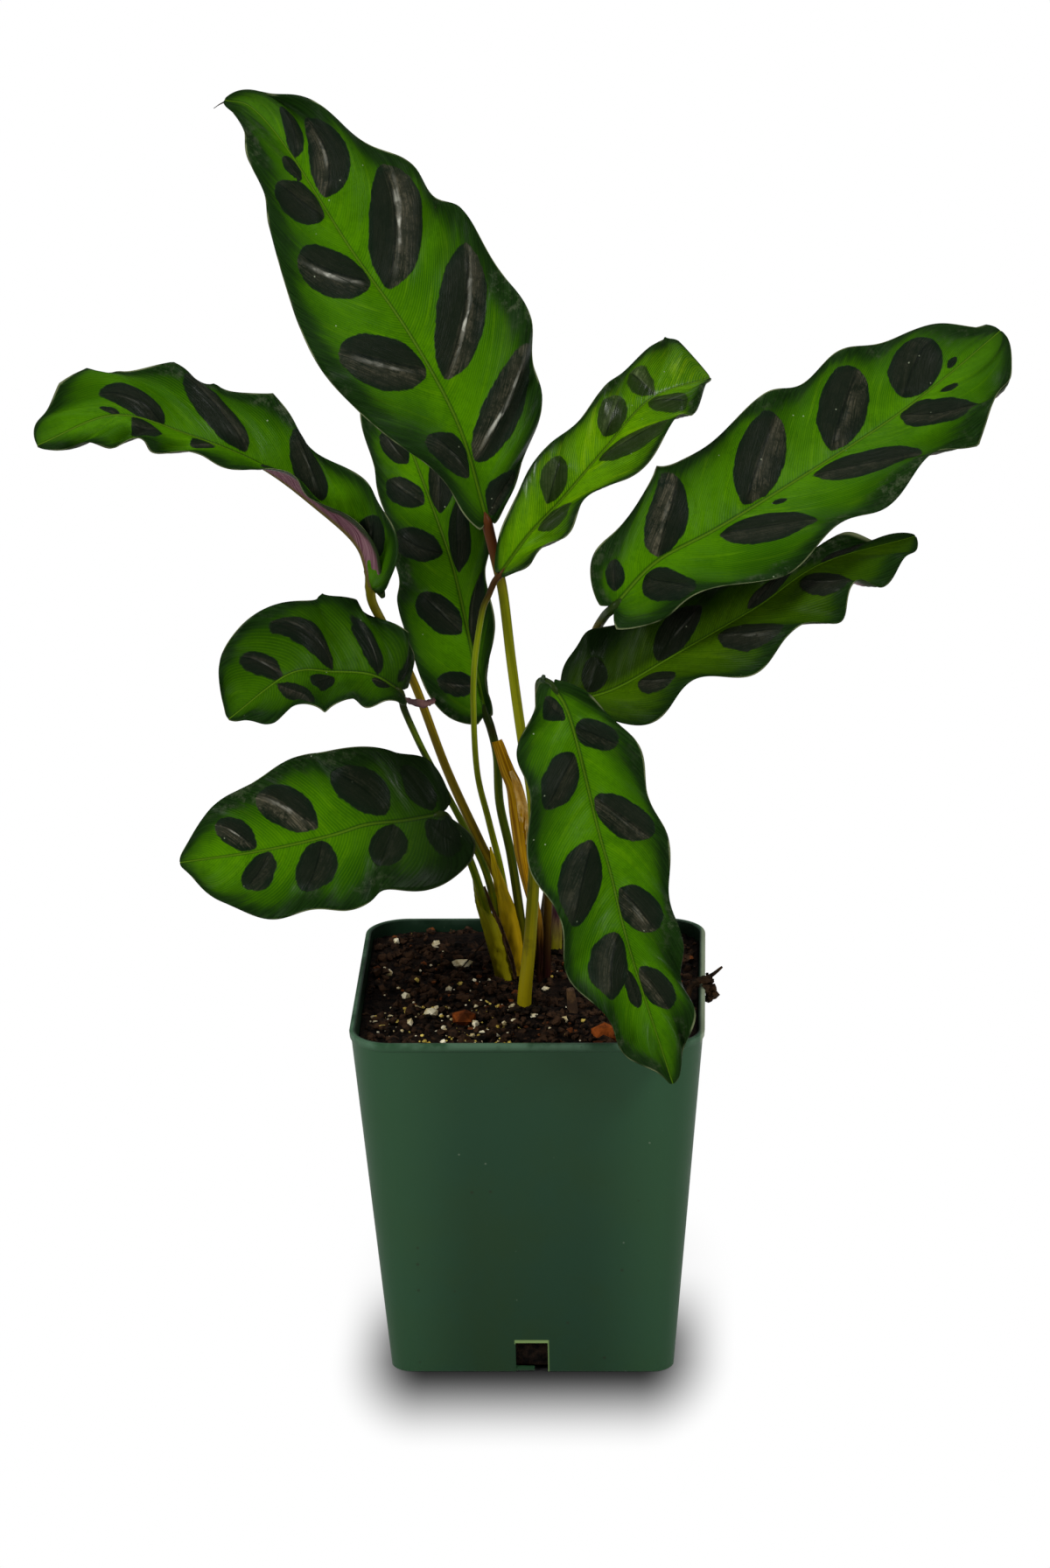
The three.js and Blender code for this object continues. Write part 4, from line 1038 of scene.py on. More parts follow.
def stalk_material(name, skin, first, second, foot, joint):
    """A smooth stalk or sheath with its own tones."""
    material, w, shader = new_material(name, specular=0.07)
    made = w.place(skin, First=first, Second=second, Foot=foot, Joint=joint)
    finish_material(w, shader, made["Colour"], 0.38, w.bump(made["Height"], 0.35, 0.3 * MM))


def natural_material(name, two_tone, first, second, scale, rough, relief, specular):
    """A matt natural surface that varies between two colours."""
    material, w, shader = new_material(name, specular)
    made = w.place(two_tone, First=first, Second=second, Scale=scale, Low=0.38, High=0.64)
    finish_material(w, shader, made["Colour"], rough, w.bump(made["Height"], 0.7, relief * MM))


def pot_fade(w, value, name):
    low, high = POT_FADES[name]
    return w.ramp(value, low * MM, high * MM)


def inner_wall_shade(w, across, tall):
    """1 on the upper part of the pot's inner wall, where painted shade darkens it: how far out of a tapered
    rounded square it lies.
    """
    flare = (RIM_WIDTH - 2 * LIP_OUT - BASE_WIDTH) / 2 / POT_HEIGHT
    corner = wall_corner(POT_HEIGHT - INNER_CORNER) * MM
    straight = w.times_plus(tall, flare, BASE_WIDTH / 2 * MM - corner)
    apart = [w.math("MAXIMUM", w.minus(across[axis], straight), 0.0) for axis in "XY"]
    outward = w.math("SQRT", w.times_plus(apart[0], apart[0], w.times(apart[1], apart[1])))
    inside = w.ramp(outward, *(corner - depth * MM for depth in INNER_SKIN))
    return w.times(inside, pot_fade(w, tall, "inner"))


def notch_edge_highlight(w, axes, across):
    """1 on the cut edge over and beside the front notch, where a painted highlight lightens it."""
    tall = axes["Z"]
    over = w.times(pot_fade(w, across["X"], "over"), pot_fade(w, tall, "top"))
    beside = w.times(pot_fade(w, axes["X"], "beside"), pot_fade(w, axes["X"], "end"))
    cut = w.times(w.math("MAXIMUM", over, w.times(beside, 0.6)), pot_fade(w, tall, "above"))
    return w.times(cut, pot_fade(w, axes["Y"], "front"))


def pot_material(two_tone, specks):
    """Moulded dark green plastic, cloudy, with fine dust specks, scuffs along the rim and a soft sheen,
    painted lighter up the walls, at the corners, on the right rim and on the notch's cut edge, and painted
    darker in shade on the inner wall.
    """
    material, w, shader = new_material("pot_plastic", specular=0.14)
    cloud = w.place(two_tone, First=(28, 54, 29), Second=(25, 55, 36), Scale=26.0, Low=0.35, High=0.65)
    axes = w.add("SeparateXYZ", Vector=w.spot()).outputs
    tall = axes["Z"]
    across = {axis: w.absolute(axes[axis]) for axis in "XY"}
    along_wall = w.math("MINIMUM", across["X"], across["Y"])
    # Wear along the top of the rim
    wear_and_sheen = w.times(pot_fade(w, tall, "wear_and_sheen"), w.ramp(w.noise(120, 3, 0.6), 0.35, 0.6))
    # Painted highlight: a light line along the right edge of the rim
    rim = w.times(pot_fade(w, axes["X"], "right"), pot_fade(w, tall, "high"))
    colour = w.layers(
        cloud["Colour"],
        # Painted light: lighter up the walls towards the rim
        (pot_fade(w, tall, "height"), 0.55, (36, 68, 44)),
        # Painted highlight: lighter towards the rounded corners
        (pot_fade(w, along_wall, "corner"), 0.5, (50, 87, 57)),
        (wear_and_sheen, 0.5, (92, 124, 100)),
        # Painted shade on the inner wall
        (inner_wall_shade(w, across, tall), 0.75, (12, 26, 18)),
        # Painted highlight on the cut edge of the front notch
        (notch_edge_highlight(w, axes, across), 0.8, (128, 154, 92)),
        # Painted highlight on the right rim
        (rim, 0.7, (150, 160, 132)),
        (w.place(specks, Scale=260.0, Radius=0.11)["Mask"], 0.4, (120, 132, 112)),
        (w.place(specks, Scale=190.0, Radius=0.12)["Mask"], 0.5, (34, 30, 18)))
    rough = w.times_plus(w.noise(60, 4, 0.6), 0.22, 0.3)
    finish_material(w, shader, colour, rough, w.bump(w.noise(1400, 2, 0.6), 0.15, 0.1 * MM))


def make_materials():
    """All materials of the plant and its pot, which MATERIALS keeps by name."""
    two_tone, specks, stalk_skin = two_tone_group(), specks_group(), stalk_group()
    skin = leaf_group(vein_group(), specks)
    pot_material(two_tone, specks)
    for name, tones in BLADE_TONES.items():
        blade_material(name + "_skin", skin, **tones)
    for name, tones in STALK_TONES.items():
        stalk_material(name, stalk_skin, *tones)
    for name, look in NATURAL.items():
        natural_material(name, two_tone, *look)


# Blades

def oval_turn(flank, length, along, out, breadth, reach, lean):
    """Directions of an oval's long and short axis, in shares of its breadth and reach.

    On the leaf the oval is an ellipse sheared by the sweep of the side veins, so its axes are those
    of the matrix that carries a unit circle onto it.
    """
    s = along + flank["sweep"] * out**VEIN_BEND
    shear = swept(flank["sweep"], s) * VEIN_BEND * out ** (VEIN_BEND - 1) + lean
    half = float(half_width(flank["half"], np.array([s]))[0])
    carried = np.array([[-length * breadth, length * shear * reach], [0, half * reach]])
    turn = np.linalg.svd(carried)[2]
    return turn * np.sign([[turn[0, 1]], [turn[1, 0]]])


def oval_field(name, leaf, vein, t, length, order):
    """The dark ovals at each point, as named fields.

    With x across an oval and y along it, both from -1 to 1, its outline is where |x| to the power
    OVAL_BELLY plus |y| to the power OVAL_ENDS is 1, a little wider outwards and the more pointed
    inwards. The depth inside it is in millimetres. The fold is x, turned towards the half with the
    painted sheen, or 2 outside every oval. Crease and rise fade out at both ends of the oval. The smear
    reaches from its outer end to the margin. Where OVAL_LIGHT has no entry, the painted sheen (light) and
    painted highlight (shine) are drawn.
    """
    draw = np.random.default_rng(SHINE_SEED + order)
    depth = np.full(t.shape, -OVAL_DEPTH)
    fold = np.full(t.shape, 2.0)
    crease, rise, light, shine, smear = (np.zeros(t.shape) for _ in range(5))
    for flank, sign in (("right", 1), ("left", -1)):
        given = OVAL_LIGHT.get(name, {}).get(flank)
        a = sign * t
        here = a > RIB_SHARE
        for k, (along, out, breadth, reach, lean) in enumerate(OVALS[name][flank]):
            up = (a - out) / reach
            on = -(vein - along - lean * (a - out)) / breadth
            turn = oval_turn(leaf[flank], length, along, out, breadth, reach, lean)
            y = turn[0, 0] * on + turn[0, 1] * up
            x = (turn[1, 0] * on + turn[1, 1] * up) / (1 + EGG * y)
            belly = OVAL_BELLY + OVAL_POINT * np.clip(y, -1, 1)
            size = np.abs(x / OVAL_FULL) ** belly + np.abs(y / OVAL_FULL) ** OVAL_ENDS
            inside = np.where(here, (1 - size) * breadth * length * OVAL_SLOPE, -OVAL_DEPTH)
            near = here & (inside > depth) & (np.abs(x) < NEAR_ACROSS) & (np.abs(y) < NEAR_ALONG)
            # How strong the painted sheen on one half and the painted highlight beside the crease are
            if given:
                sheen_side, streak = given[k]
            else:
                sheen_side, streak = draw.uniform(-SHEEN_ELSEWHERE, SHEEN_ELSEWHERE), GLINT_ELSEWHERE * draw.random()
            fold = np.where(near, x if sheen_side >= 0 else -x, fold)
            light = np.where(near, abs(sheen_side), light)
            crease = np.where(near, smooth_step((CREASE_END - np.abs(y)) / END_FADE), crease)
            shine = np.where(near, streak * np.exp(-(((y - SHINE_MIDDLE) / SHINE_SPREAD) ** 2)), shine)
            outer = np.exp(-((x / SMEAR_SPREAD) ** 2)) * smooth_step(y / SMEAR_START)
            smear = np.maximum(smear, np.where(here, outer, 0))
            depth = np.maximum(depth, inside)
            swell = np.clip(RISE_SIDE - np.abs(x), 0, 1) * smooth_step((RISE_END - np.abs(y)) / END_FADE)
            rise = np.maximum(rise, np.where(here, swell * min(1.0, breadth * length / RISE_BREADTH), 0))
    return dict(oval=np.clip(depth, -OVAL_DEPTH, OVAL_DEPTH), fold=fold, crease=crease, rise=rise,
                light=light, shine=shine, smear=smear)


def add_crests(name, points, s, t):
    """The sheet with its small crests, each a peak that falls off along the margin and inwards."""
    outward = points - points[:, BLADE_COLUMNS : BLADE_COLUMNS + 1]
    outward = outward / np.maximum(np.linalg.norm(outward, axis=-1, keepdims=True), 0.1)
    for sign, place, high in CRESTS.get(name, []):
        crest = high * np.exp(-np.abs(s - place) / CREST_REACH) * np.clip(sign * t, 0, 1) ** CREST_POWER
        points = points + crest[..., None] * outward
    return points


def dusk_field(name, s, t):
    """1 where the base of a blade lies in shade."""
    end, fade, sign = DUSK.get(name, NO_DUSK)
    dusk = smooth_step((end - s) / fade)
    return dusk * smooth_step(sign * t / DUSK_SIDE) if sign else dusk


def blade_faces(points, s, out, from_rib):
    """The sheet thickened along its normals, thinner at the margin, with the midrib standing out below
    and a groove over it."""
    normals = sheet_normals(points)
    full = BLADE_THICKNESS - MARGIN_THICKNESS
    thick = MARGIN_THICKNESS + full * smooth_step((1 - out) / MARGIN_SHARE)
    rib = RIB_DEPTH * (1 - 0.75 * s) * np.exp(-((from_rib / (RIB_HALF * (1 - 0.5 * s))) ** 2))
    groove = GROOVE_DEPTH * np.exp(-((from_rib / GROOVE_HALF) ** 2))
    top = points + (thick / 2 - groove)[..., None] * normals
    low = points - (thick / 2 + rib)[..., None] * normals
    return two_faced(top, low)


def build_blade(name, leaf, material, order):
    """A thin leaf, pleated along its side veins, with a crease that rises along each dark oval."""
    share = np.linspace(0, 1, BLADE_ROWS + 1)
    u = np.linspace(-1, 1, 2 * BLADE_COLUMNS + 1)
    s, t = np.meshgrid(
        (1 - np.cos(math.pi * share)) / 2, np.sign(u) * np.abs(u) ** COLUMN_CROWDING, indexing="ij")
    points, vein, half, length = blade_sheet(leaf, s, t)
    points = add_crests(name, points, s, t)
    out = np.abs(t)
    from_rib = half * out
    ovals = oval_field(name, leaf, vein, t, length, order)
    rise = ovals["rise"]
    calm = smooth_step(from_rib / CALM_RIB) * smooth_step((1 - s) / CALM_TIP)
    calm = calm * smooth_step((1 - out) / CALM_MARGIN)
    pleat = PLEAT_HEIGHT * np.sin(2 * math.pi * vein * length / PLEAT_SPACING)
    relief = (pleat * (1 - rise) + CREASE_HEIGHT * rise) * calm
    points = points + relief[..., None] * sheet_normals(points)
    verts, faces = blade_faces(points, s, out, from_rib)

    def both(values):
        return np.tile(values.ravel(), 2)

    fields = {label: ovals[label] for label in ("oval", "fold", "crease", "light", "shine")}
    fields.update(
        margin=half * (1 - out),
        band=half * (1 - out) / through_three(BANDS[name], s) / (1 + SMEAR * ovals["smear"]),
        rib=from_rib / np.maximum(1 - 0.6 * s, 0.3),
        vein=(vein - VEIN_SLANT * out**VEIN_BEND) * length + BLADE_SHIFT * order,
        tip=smooth_step((s - TIP_START) / TIP_FADE),
        dusk=dusk_field(name, s, t),
    )
    attributes = {label: both(values) for label, values in fields.items()}
    attributes["upper"] = np.repeat([1, 0], s.size)
    make_piece(name + "_blade", verts, faces, material,
               [name], attributes=attributes, uv=np.stack([both(vein), both((t + 1) / 2)], -1))


# Tubes

def tube_rings(path, radius, steps, sides):
    """Rings round a smooth path. radius is a function of the share of the length.

    Each ring lies across the path, turned as little as can be from the one before it. Also gives
    the centres, the shares of the length and the turns round a ring.
    """
    line, length = spline(path)
    share = np.linspace(0, 1, steps + 1)
    centre = along_line(line, length, share)
    tangent = unit(np.gradient(centre, axis=0))
    across = np.array([1.0, 0, 0])
    first = np.zeros_like(centre)
    for k in range(steps + 1):
        across = across - tangent[k] * (across @ tangent[k])
        across = across / np.linalg.norm(across)
        first[k] = across
    second = np.cross(tangent, first)
    turn = np.linspace(0, 2 * math.pi, sides, endpoint=False)
    cos, sin = np.cos(turn)[:, None], np.sin(turn)[:, None]
    r = radius(share)[:, None, None]
    rings = centre[:, None] + (r * cos * first[:, None] + r * sin * second[:, None])
    return rings, centre, share, turn


def close_tube(rings, centre):
    """Points and faces of a tube of rings, closed by a fan at both ends."""
    rows, sides = rings.shape[:2]
    points = np.concatenate([rings.reshape(-1, 3), centre[:1], centre[-1:]])
    k = np.arange(sides)
    after = (k + 1) % sides
    start = np.stack([np.full(sides, rows * sides), after, k], -1)
    last = (rows - 1) * sides
    end = np.stack([np.full(sides, rows * sides + 1), last + k, last + after], -1)
    quads = grid_faces(rows, sides, closed=True)
    return points, [*quads.tolist(), *start.tolist(), *end.tolist()]


def foot_field(points, kind):
    """1 up to the height where the tone of the foot is full, fading out above it."""
    full, fade = FOOT_TONE[kind]
    return 1 - np.clip((points[:, 2] - full) / fade, 0, 1)


def build_tube(name, path, radius, material, slot, stands_for=(), steps=40, sides=14, kind="rod", joint=None):
    """A closed tube along a path. The joint is a function of the share of the length, 0 if none."""
    rings, centre, share, turn = tube_rings(path, radius, steps, sides)
    points, faces = close_tube(rings, centre)
    distance = np.concatenate([np.repeat(share, sides), share[:1], share[-1:]])
    around = np.concatenate([np.tile(turn, len(share)), [0, 0]]) / (2 * math.pi)
    attributes = dict(foot=foot_field(points, kind), joint=joint(distance) if joint else 0 * distance)
    make_piece(name, points, faces, material, stands_for, attributes=attributes,
               uv=np.stack([around, distance], -1))


def build_rod(name, path, radii, **look):
    """A round stem along a path, its radius a parabola through three values."""
    build_tube(name, path, lambda share: through_three(radii, share), **look)


def build_stalk(name, stalk, leaf):
    """A leaf stalk: a tube that runs on under the blade, a little swollen there."""
    base = np.array(leaf["midrib"][0], float)
    ahead = unit(np.array(leaf["midrib"][1], float) - base)

    def radius(share):
        swell = 1 + SWELL * np.exp(-((share / SWELL_LENGTH) ** 2))
        taper = np.clip(share / TAPER_LENGTH, TAPER_END, 1)
        return through_three(stalk["radii"], share) * swell * taper

    def joint(distance):
        return 1 - smooth_step((distance - JOINT_END) / JOINT_FADE)

    path = [base + STALK_REACH * ahead + leaf.get("tuck", TUCK), base + UNDER_BASE, *stalk["path"]]
    number = name.replace("leaf", "petiole")
    build_tube(number + "_stalk", path, radius, stalk["finish"] + "_stalk_skin", "stalk", [number],
               STALK_STEPS, STALK_SIDES, "stalk", joint)


def build_plant():
    for order, (name, leaf) in enumerate(LEAVES.items()):
        build_blade(name, leaf, leaf.get("finish", "grown") + "_skin", order)
        build_stalk(name, STALKS[name], leaf)


# Pot

def square_ring(width, corner, sides, z):
    """Points round a square with round corners, the same number in each corner, at height z."""
    quarter = np.repeat(np.arange(4), sides // 4) * math.pi / 2
    step = np.tile(np.linspace(0, math.pi / 2, sides // 4), 4)
    middle = quarter + math.pi / 4
    reach = (width / 2 - corner) * math.sqrt(2)
    return np.stack([
        reach * np.cos(middle) + corner * np.cos(quarter + step),
        reach * np.sin(middle) + corner * np.sin(quarter + step),
        np.full(len(middle), z),
    ], -1)


def wall_width(z):
    return BASE_WIDTH + (RIM_WIDTH - 2 * LIP_OUT - BASE_WIDTH) * z / POT_HEIGHT


def wall_corner(z):
    return BASE_CORNER + (RIM_CORNER - BASE_CORNER) * z / POT_HEIGHT


def pot_section():
    """Heights up and over the pot's wall, and how far out of the plain wall its surface lies there:
    the rounded foot, the wall, the lip, the inner wall and the floor."""
    lip = POT_HEIGHT - LIP_HEIGHT
    return [
        (0, -1.2), (0, -0.35), (0.35, 0),
        *((z, 0) for z in np.linspace(2, lip - 0.5, 12)),
        (lip - 0.15, 0.06), (lip, LIP_OUT - 0.1), (lip + 0.25, LIP_OUT),
        (POT_HEIGHT - 0.4, LIP_OUT), (POT_HEIGHT - 0.1, LIP_OUT - 0.12), (POT_HEIGHT, LIP_OUT - 0.45),
        (POT_HEIGHT, -WALL + 0.25), (POT_HEIGHT - 0.15, -WALL),
        *((z, -WALL) for z in np.linspace(POT_HEIGHT - 2, FLOOR + 1, 10)),
        (FLOOR, -WALL - 0.6),
    ]


def cut_notch(pot, angle):
    """A drain notch cut from the foot of the front wall, turned by the angle to another wall."""
    half = (NOTCH_HALF, NOTCH_DEPTH / 2 + NOTCH_OVERRUN, NOTCH_HEIGHT)
    corner = np.array([(x, y, z) for x in (-1, 1) for y in (-1, 1) for z in (-1, 1)], float) * half
    corner[:, 1] -= BASE_WIDTH / 2 - NOTCH_DEPTH / 2 + NOTCH_OVERRUN
    spin = [[math.cos(angle), -math.sin(angle), 0], [math.sin(angle), math.cos(angle), 0], [0, 0, 1]]
    quads = [(0, 1, 3, 2), (4, 6, 7, 5), (0, 4, 5, 1), (2, 3, 7, 6), (0, 2, 6, 4), (1, 5, 7, 3)]
    cutter = add_mesh("notch", corner @ np.array(spin).T, quads)
    cut = pot.modifiers.new("notch", "BOOLEAN")
    cut.object = cutter
    cut.operation = "DIFFERENCE"
    cut.solver = "EXACT"
    bpy.context.view_layer.objects.active = pot
    bpy.ops.object.modifier_apply(modifier="notch")
    bpy.data.objects.remove(cutter)


def build_pot():
    """The pot: rings of a rounded square carried over its section, then a notch cut in each wall."""
    rings = np.array([
        square_ring(wall_width(z) + 2 * out, max(wall_corner(z) + out, 0.5), POT_SIDES, z)
        for z, out in pot_section()
    ])
    points, faces = close_tube(rings, np.array([[0, 0, 0], [0, 0, FLOOR]], float))
    pot = make_piece("pot_shell", points, faces, "pot_plastic", ["pot"])
    for quarter in range(4):
        cut_notch(pot, quarter * math.pi / 2)
    shade_smooth(pot.data)
    pot.data.set_sharp_from_angle(angle=math.radians(POT_SHARP))


# Soil

def soft_noise(x, y, seed, cell):
    """Smooth random heights on a square lattice of the given cell, blended between its points."""
    draw = np.random.default_rng(seed)
    lattice = draw.random((LATTICE, LATTICE)) - 0.5
    gx, gy = x / cell + LATTICE / 2, y / cell + LATTICE / 2
    i, j = gx.astype(int) % (LATTICE - 1), gy.astype(int) % (LATTICE - 1)
    fx, fy = smooth_step(gx - np.floor(gx)), smooth_step(gy - np.floor(gy))
    low = lattice[i, j] * (1 - fx) + lattice[i + 1, j] * fx
    high = lattice[i, j + 1] * (1 - fx) + lattice[i + 1, j + 1] * fx
    return low * (1 - fy) + high * fy


def soil_height(x, y):
    """Height of the soil: a low mound round the stalks and crumbs of three sizes."""
    away = (x - MOUND["x"]) ** 2 + (y - MOUND["y"]) ** 2
    mound = MOUND["height"] * np.exp(-away / MOUND["spread"] ** 2)
    lumps = sum(high * soft_noise(x, y, seed, cell) for high, seed, cell in LUMPS)
    return SOIL_TOP + SOIL_SLOPE * y + mound + lumps


def build_soil():
    """The soil's body: a fine bumpy top over a rounded square, with plain walls and a flat bottom."""
    inset = WALL + SOIL_GAP
    bottom = FLOOR + 0.2
    rings = [
        square_ring(wall_width(z) - 2 * inset, max(wall_corner(z) - inset, 1.0), SOIL_SIDES, z)
        for z in (bottom, 4.0, 10.0, SOIL_TOP - 3.0)
    ]
    outline = square_ring(wall_width(SOIL_TOP) - 2 * inset, wall_corner(SOIL_TOP) - inset, SOIL_SIDES, 0)
    for share in np.linspace(1, 0.02, SOIL_RINGS):
        ring = outline * share
        ring[:, 2] = soil_height(ring[:, 0], ring[:, 1])
        rings.append(ring)
    top = float(soil_height(np.zeros(1), np.zeros(1))[0])
    points, faces = close_tube(np.array(rings), np.array([[0, 0, bottom], [0, 0, top]]))
    make_piece("soil_body", points, faces, "soil_mix", ["soil"])


# A ball of twelve corners, from which crumbs and grains are made
GOLD = (1 + math.sqrt(5)) / 2
BALL = unit(np.array([
    (-1, GOLD, 0), (1, GOLD, 0), (-1, -GOLD, 0), (1, -GOLD, 0), (0, -1, GOLD), (0, 1, GOLD),
    (0, -1, -GOLD), (0, 1, -GOLD), (GOLD, 0, -1), (GOLD, 0, 1), (-GOLD, 0, -1), (-GOLD, 0, 1),
]))
BALL_FACES = np.array([
    (0, 11, 5), (0, 5, 1), (0, 1, 7), (0, 7, 10), (0, 10, 11), (1, 5, 9), (5, 11, 4), (11, 10, 2),
    (10, 7, 6), (7, 1, 8), (3, 9, 4), (3, 4, 2), (3, 2, 6), (3, 6, 8), (3, 8, 9), (4, 9, 5),
    (2, 4, 11), (6, 2, 10), (8, 6, 7), (9, 8, 1),
])


def scatter(name, centres, sizes, material, seed, rough):
    """One mesh of many small lumps, each a jittered twelve-cornered ball of its own size and turn."""
    draw = np.random.default_rng(seed)
    count = len(centres)
    shape = BALL[None] * (1 + rough * (draw.random((count, 12, 1)) - 0.5) * 2)
    stretch = 1 + 0.5 * (draw.random((count, 1, 3)) - 0.5)
    stretch[..., 2] *= LUMP_FLATNESS
    shape = shape * stretch * sizes[:, None, None]
    angle = draw.random(count) * 2 * math.pi
    cos, sin = np.cos(angle)[:, None], np.sin(angle)[:, None]
    x, y, z = shape[..., 0], shape[..., 1], shape[..., 2]
    points = np.stack([x * cos - y * sin, x * sin + y * cos, z], -1) + centres[:, None]
    faces = BALL_FACES[None] + 12 * np.arange(count)[:, None, None]
    make_piece(name, points.reshape(-1, 3), faces.reshape(-1, 3), material, smooth=False)


def on_soil(x, y, sizes, sink):
    """Centres of lumps at x and y that sit a little sunk into the soil."""
    return np.column_stack([x, y, soil_height(x, y) + sizes * (0.5 - sink)])


def spread_on_soil(count, seed, sizes, skew, sink=0.25, corner_pull=0.0):
    """Seeded places on the soil's top, inside the pot's walls, with a radius for each.

    skew makes small ones commoner. corner_pull draws that share of them towards the front left.
    """
    draw = np.random.default_rng(seed)
    radii = sizes[0] + (sizes[1] - sizes[0]) * draw.random(count) ** skew
    half = wall_width(SOIL_TOP) / 2 - WALL - SOIL_EDGE
    x = (draw.random(count) * 2 - 1) * (half - radii)
    y = (draw.random(count) * 2 - 1) * (half - radii)
    pulled = draw.random(count) < corner_pull
    x, y = (np.where(pulled, -half + 1 + (v + half) * pull, v) for v, pull in zip((x, y), FRONT_LEFT))
    corner = (np.abs(x) > half - CORNER_ZONE) & (np.abs(y) > half - CORNER_ZONE)
    x, y = (np.where(corner, v * shift, v) for v, shift in zip((x, y), CORNER_SHIFT))
    return on_soil(x, y, radii, sink), radii


def build_litter():
    """Crumbs of peat and grains of perlite that lie on the soil."""
    for name, (material, slot, rough, spread) in LITTER.items():
        centres, sizes = spread_on_soil(**spread)
        scatter(name, centres, sizes, material, spread["seed"] + 1, rough)
    x, y, sizes = np.array(PERLITE, float).T
    scatter("perlite_grains", on_soil(x, y, sizes, 0.1), sizes, "perlite", PERLITE_SEED, 0.3)


def build_bark():
    for name, (centre, size, seed) in BARK.items():
        draw = np.random.default_rng(seed)
        shape = BALL * (1 + 0.18 * (draw.random((12, 1)) - 0.5)) * np.array(size)
        make_piece(name + "_lump", shape + np.array(centre), BALL_FACES, "bark_red", [name],
                   smooth=False)


def build_crumbs():
    """Crumbs caught in the twig on the rim, and a small heap at the foot of the first stalk."""
    draw = np.random.default_rng(CRUMB_SEED)
    share = draw.random((HANGING["count"], 1))
    line = (1 - share) * HANGING["foot"] + share * HANGING["top"]
    clumps = [("twig_crumbs", line, HANGING, "twig"), ("foot_crumbs", HEAP["place"], HEAP, "soil")]
    for k, (name, places, look, slot) in enumerate(clumps):
        centres = places + draw.normal(size=(look["count"], 3)) * look["stray"]
        sizes = draw.uniform(*look["sizes"], look["count"])
        scatter(name, centres, sizes, "twig_fibre", CRUMB_SEED + 1 + k, 0.4)


# Small pieces

def build_strip(name, path, widths, cup, material, slot, seed, stands_for=(), steps=60, across=(1, 0, 0)):
    """A dry papery strip: a band along a path, cupped into a channel and crinkled, with both faces.

    Its width at even shares of the path comes from widths. A point across it lies at u times half
    the width, pushed forward by cup times the half-width times one less u squared, plus noise.
    """
    line, length = spline(path)
    share = np.linspace(0, 1, steps + 1)
    centre = along_line(line, length, share)
    tangent = unit(np.gradient(centre, axis=0))
    half = np.interp(share, np.linspace(0, 1, len(widths)), widths)[:, None] / 2
    side = unit(across - tangent * (tangent @ across)[:, None])
    front = np.cross(tangent, side)
    u = np.linspace(-1, 1, STRIP_COLUMNS + 1)[None]
    share = share[:, None]
    crinkle = soft_noise(share * CRINKLE["along"] + CRINKLE["slant"] * u, u * CRINKLE["across"] + 0 * share,
                         seed, CRINKLE["cell"])
    lift = cup * (1 - u**2) * half + CRINKLE["height"] * crinkle * smooth_step(half)
    sheet = centre[:, None] + (u * half)[..., None] * side[:, None] + lift[..., None] * front[:, None]
    normals = sheet_normals(sheet)
    verts, faces = two_faced(sheet + STRIP_HALF * normals, sheet - STRIP_HALF * normals)
    uv = np.stack(np.broadcast_arrays(u / 2, share), -1).reshape(-1, 2)
    attributes = dict(foot=foot_field(verts, "strip"), joint=np.zeros(len(verts)))
    make_piece(name, verts, faces, material, stands_for, attributes=attributes, uv=np.tile(uv, (2, 1)))


def build_small_pieces():
    for name, look in STRIPS.items():
        build_strip(name, **look)
    for name, look in RODS.items():
        build_rod(name, **look)
    build_crumbs()


# Floor, light and camera

def build_floor():
    """White paper that glows to the camera, but for a soft shadow round the front of the pot's foot."""
    corners = [(x * FLOOR_HALF, y * FLOOR_HALF, 0) for x, y in ((-1, -1), (1, -1), (1, 1), (-1, 1))]
    floor = add_mesh("floor", corners, [(0, 1, 2, 3)])
    material, w, shader = new_material("floor_paper", specular=0.0)
    shader.inputs["Roughness"].default_value = 0.9
    axes = w.add("SeparateXYZ", Vector=w.spot()).outputs
    beyond = []
    for axis, reach in (("X", SHADOW_SIDE), ("Y", SHADOW_FRONT)):
        past = w.minus(w.absolute(axes[axis]), SHADOW_CORE)
        beyond.append(w.math("DIVIDE", w.math("MAXIMUM", past, 0.0), reach))
    flat = w.add("CombineXYZ", X=beyond[0], Y=beyond[1]).outputs[0]
    away = w.add("VectorMath", dict(operation="LENGTH"), _0=flat).outputs["Value"]
    forward = w.times_plus(w.ramp(axes["Y"], *SHADOW_BACK), 0.9, 0.1)
    shade = w.times(w.ramp(away, 1.12, 0.14), forward)
    camera = w.add("LightPath").outputs["Is Camera Ray"]
    w.feed(shader.inputs["Base Color"], w.mix(camera, (0.93, 0.93, 0.93, 1), (0.03, 0.03, 0.03, 1)))
    white = w.add("Emission", Color=(1, 1, 1, 1), Strength=1.0)
    glow = w.times(w.minus(1.0, shade), camera)
    both = w.add("MixShader", _0=glow, _1=shader.outputs[0], _2=white.outputs[0])
    w.tree.links.new(both.outputs[0], w.tree.nodes["Material Output"].inputs["Surface"])
    floor.data.materials.append(material)


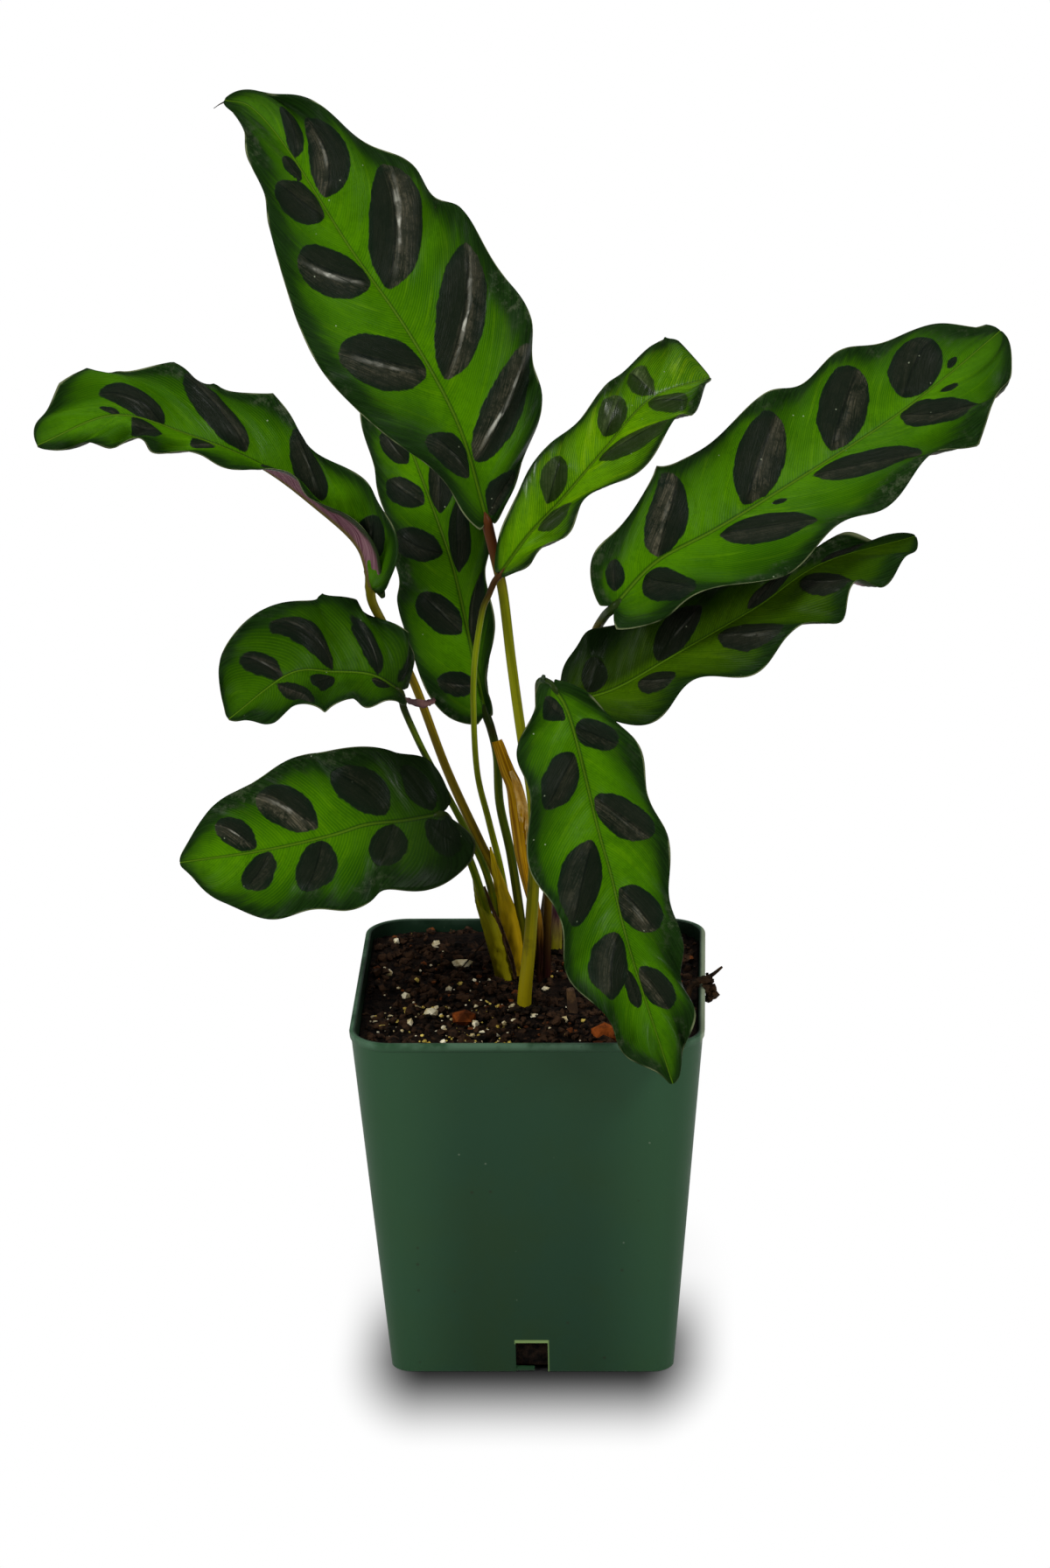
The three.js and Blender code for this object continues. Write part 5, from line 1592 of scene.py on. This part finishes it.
def area_light(name, place, size, power):
    """A round soft light that faces the plant."""
    light = bpy.data.lights.new(name, "AREA")
    light.shape = "DISK"
    light.size = size
    light.energy = power
    item = bpy.data.objects.new(name, light)
    item.location = place
    item.rotation_euler = (Vector(LIT_POINT) - item.location).to_track_quat("-Z", "Y").to_euler()
    bpy.context.scene.collection.objects.link(item)


def build_lights():
    """A broad soft light overhead, one from each side in front, and a dim room behind a white view."""
    for light in LIGHTS:
        area_light(*light)
    world = bpy.data.worlds.new("studio")
    world.use_nodes = True
    w = Wiring(world.node_tree)
    dim = world.node_tree.nodes["Background"]
    dim.inputs["Strength"].default_value = ROOM_LIGHT
    dim.inputs["Color"].default_value = (1, 1, 1, 1)
    white = w.add("Background", Color=(1, 1, 1, 1), Strength=1.0)
    seen = w.add("LightPath").outputs["Is Camera Ray"]
    both = w.add("MixShader", _0=seen, _1=dim.outputs[0], _2=white.outputs[0])
    w.tree.links.new(both.outputs[0], w.tree.nodes["World Output"].inputs["Surface"])
    bpy.context.scene.world = world


def build_camera():
    elevation, yaw, roll = (math.radians(CAMERA[key]) for key in ("elevation", "yaw", "roll"))
    level = math.cos(elevation)
    back = Vector((math.sin(yaw) * level, -math.cos(yaw) * level, math.sin(elevation)))
    right = (-back).cross(Vector((0, 0, 1))).normalized()
    up = right.cross(-back)
    turned_right = right * math.cos(roll) + up * math.sin(roll)
    turned_up = up * math.cos(roll) - right * math.sin(roll)
    data = bpy.data.cameras.new("camera")
    data.sensor_width = SENSOR_WIDTH
    data.lens = CAMERA["lens"]
    camera = bpy.data.objects.new("camera", data)
    turn = Matrix((turned_right, turned_up, back)).transposed().to_4x4()
    camera.matrix_world = Matrix.Translation(Vector(CAMERA["target"]) + back * CAMERA["distance"]) @ turn
    bpy.context.scene.collection.objects.link(camera)
    bpy.context.scene.camera = camera


make_materials()
build_camera()
build_floor()
build_lights()
build_pot()
build_soil()
build_litter()
build_bark()
build_plant()
build_small_pieces()
bpy.context.scene.view_settings.view_transform = "Standard"
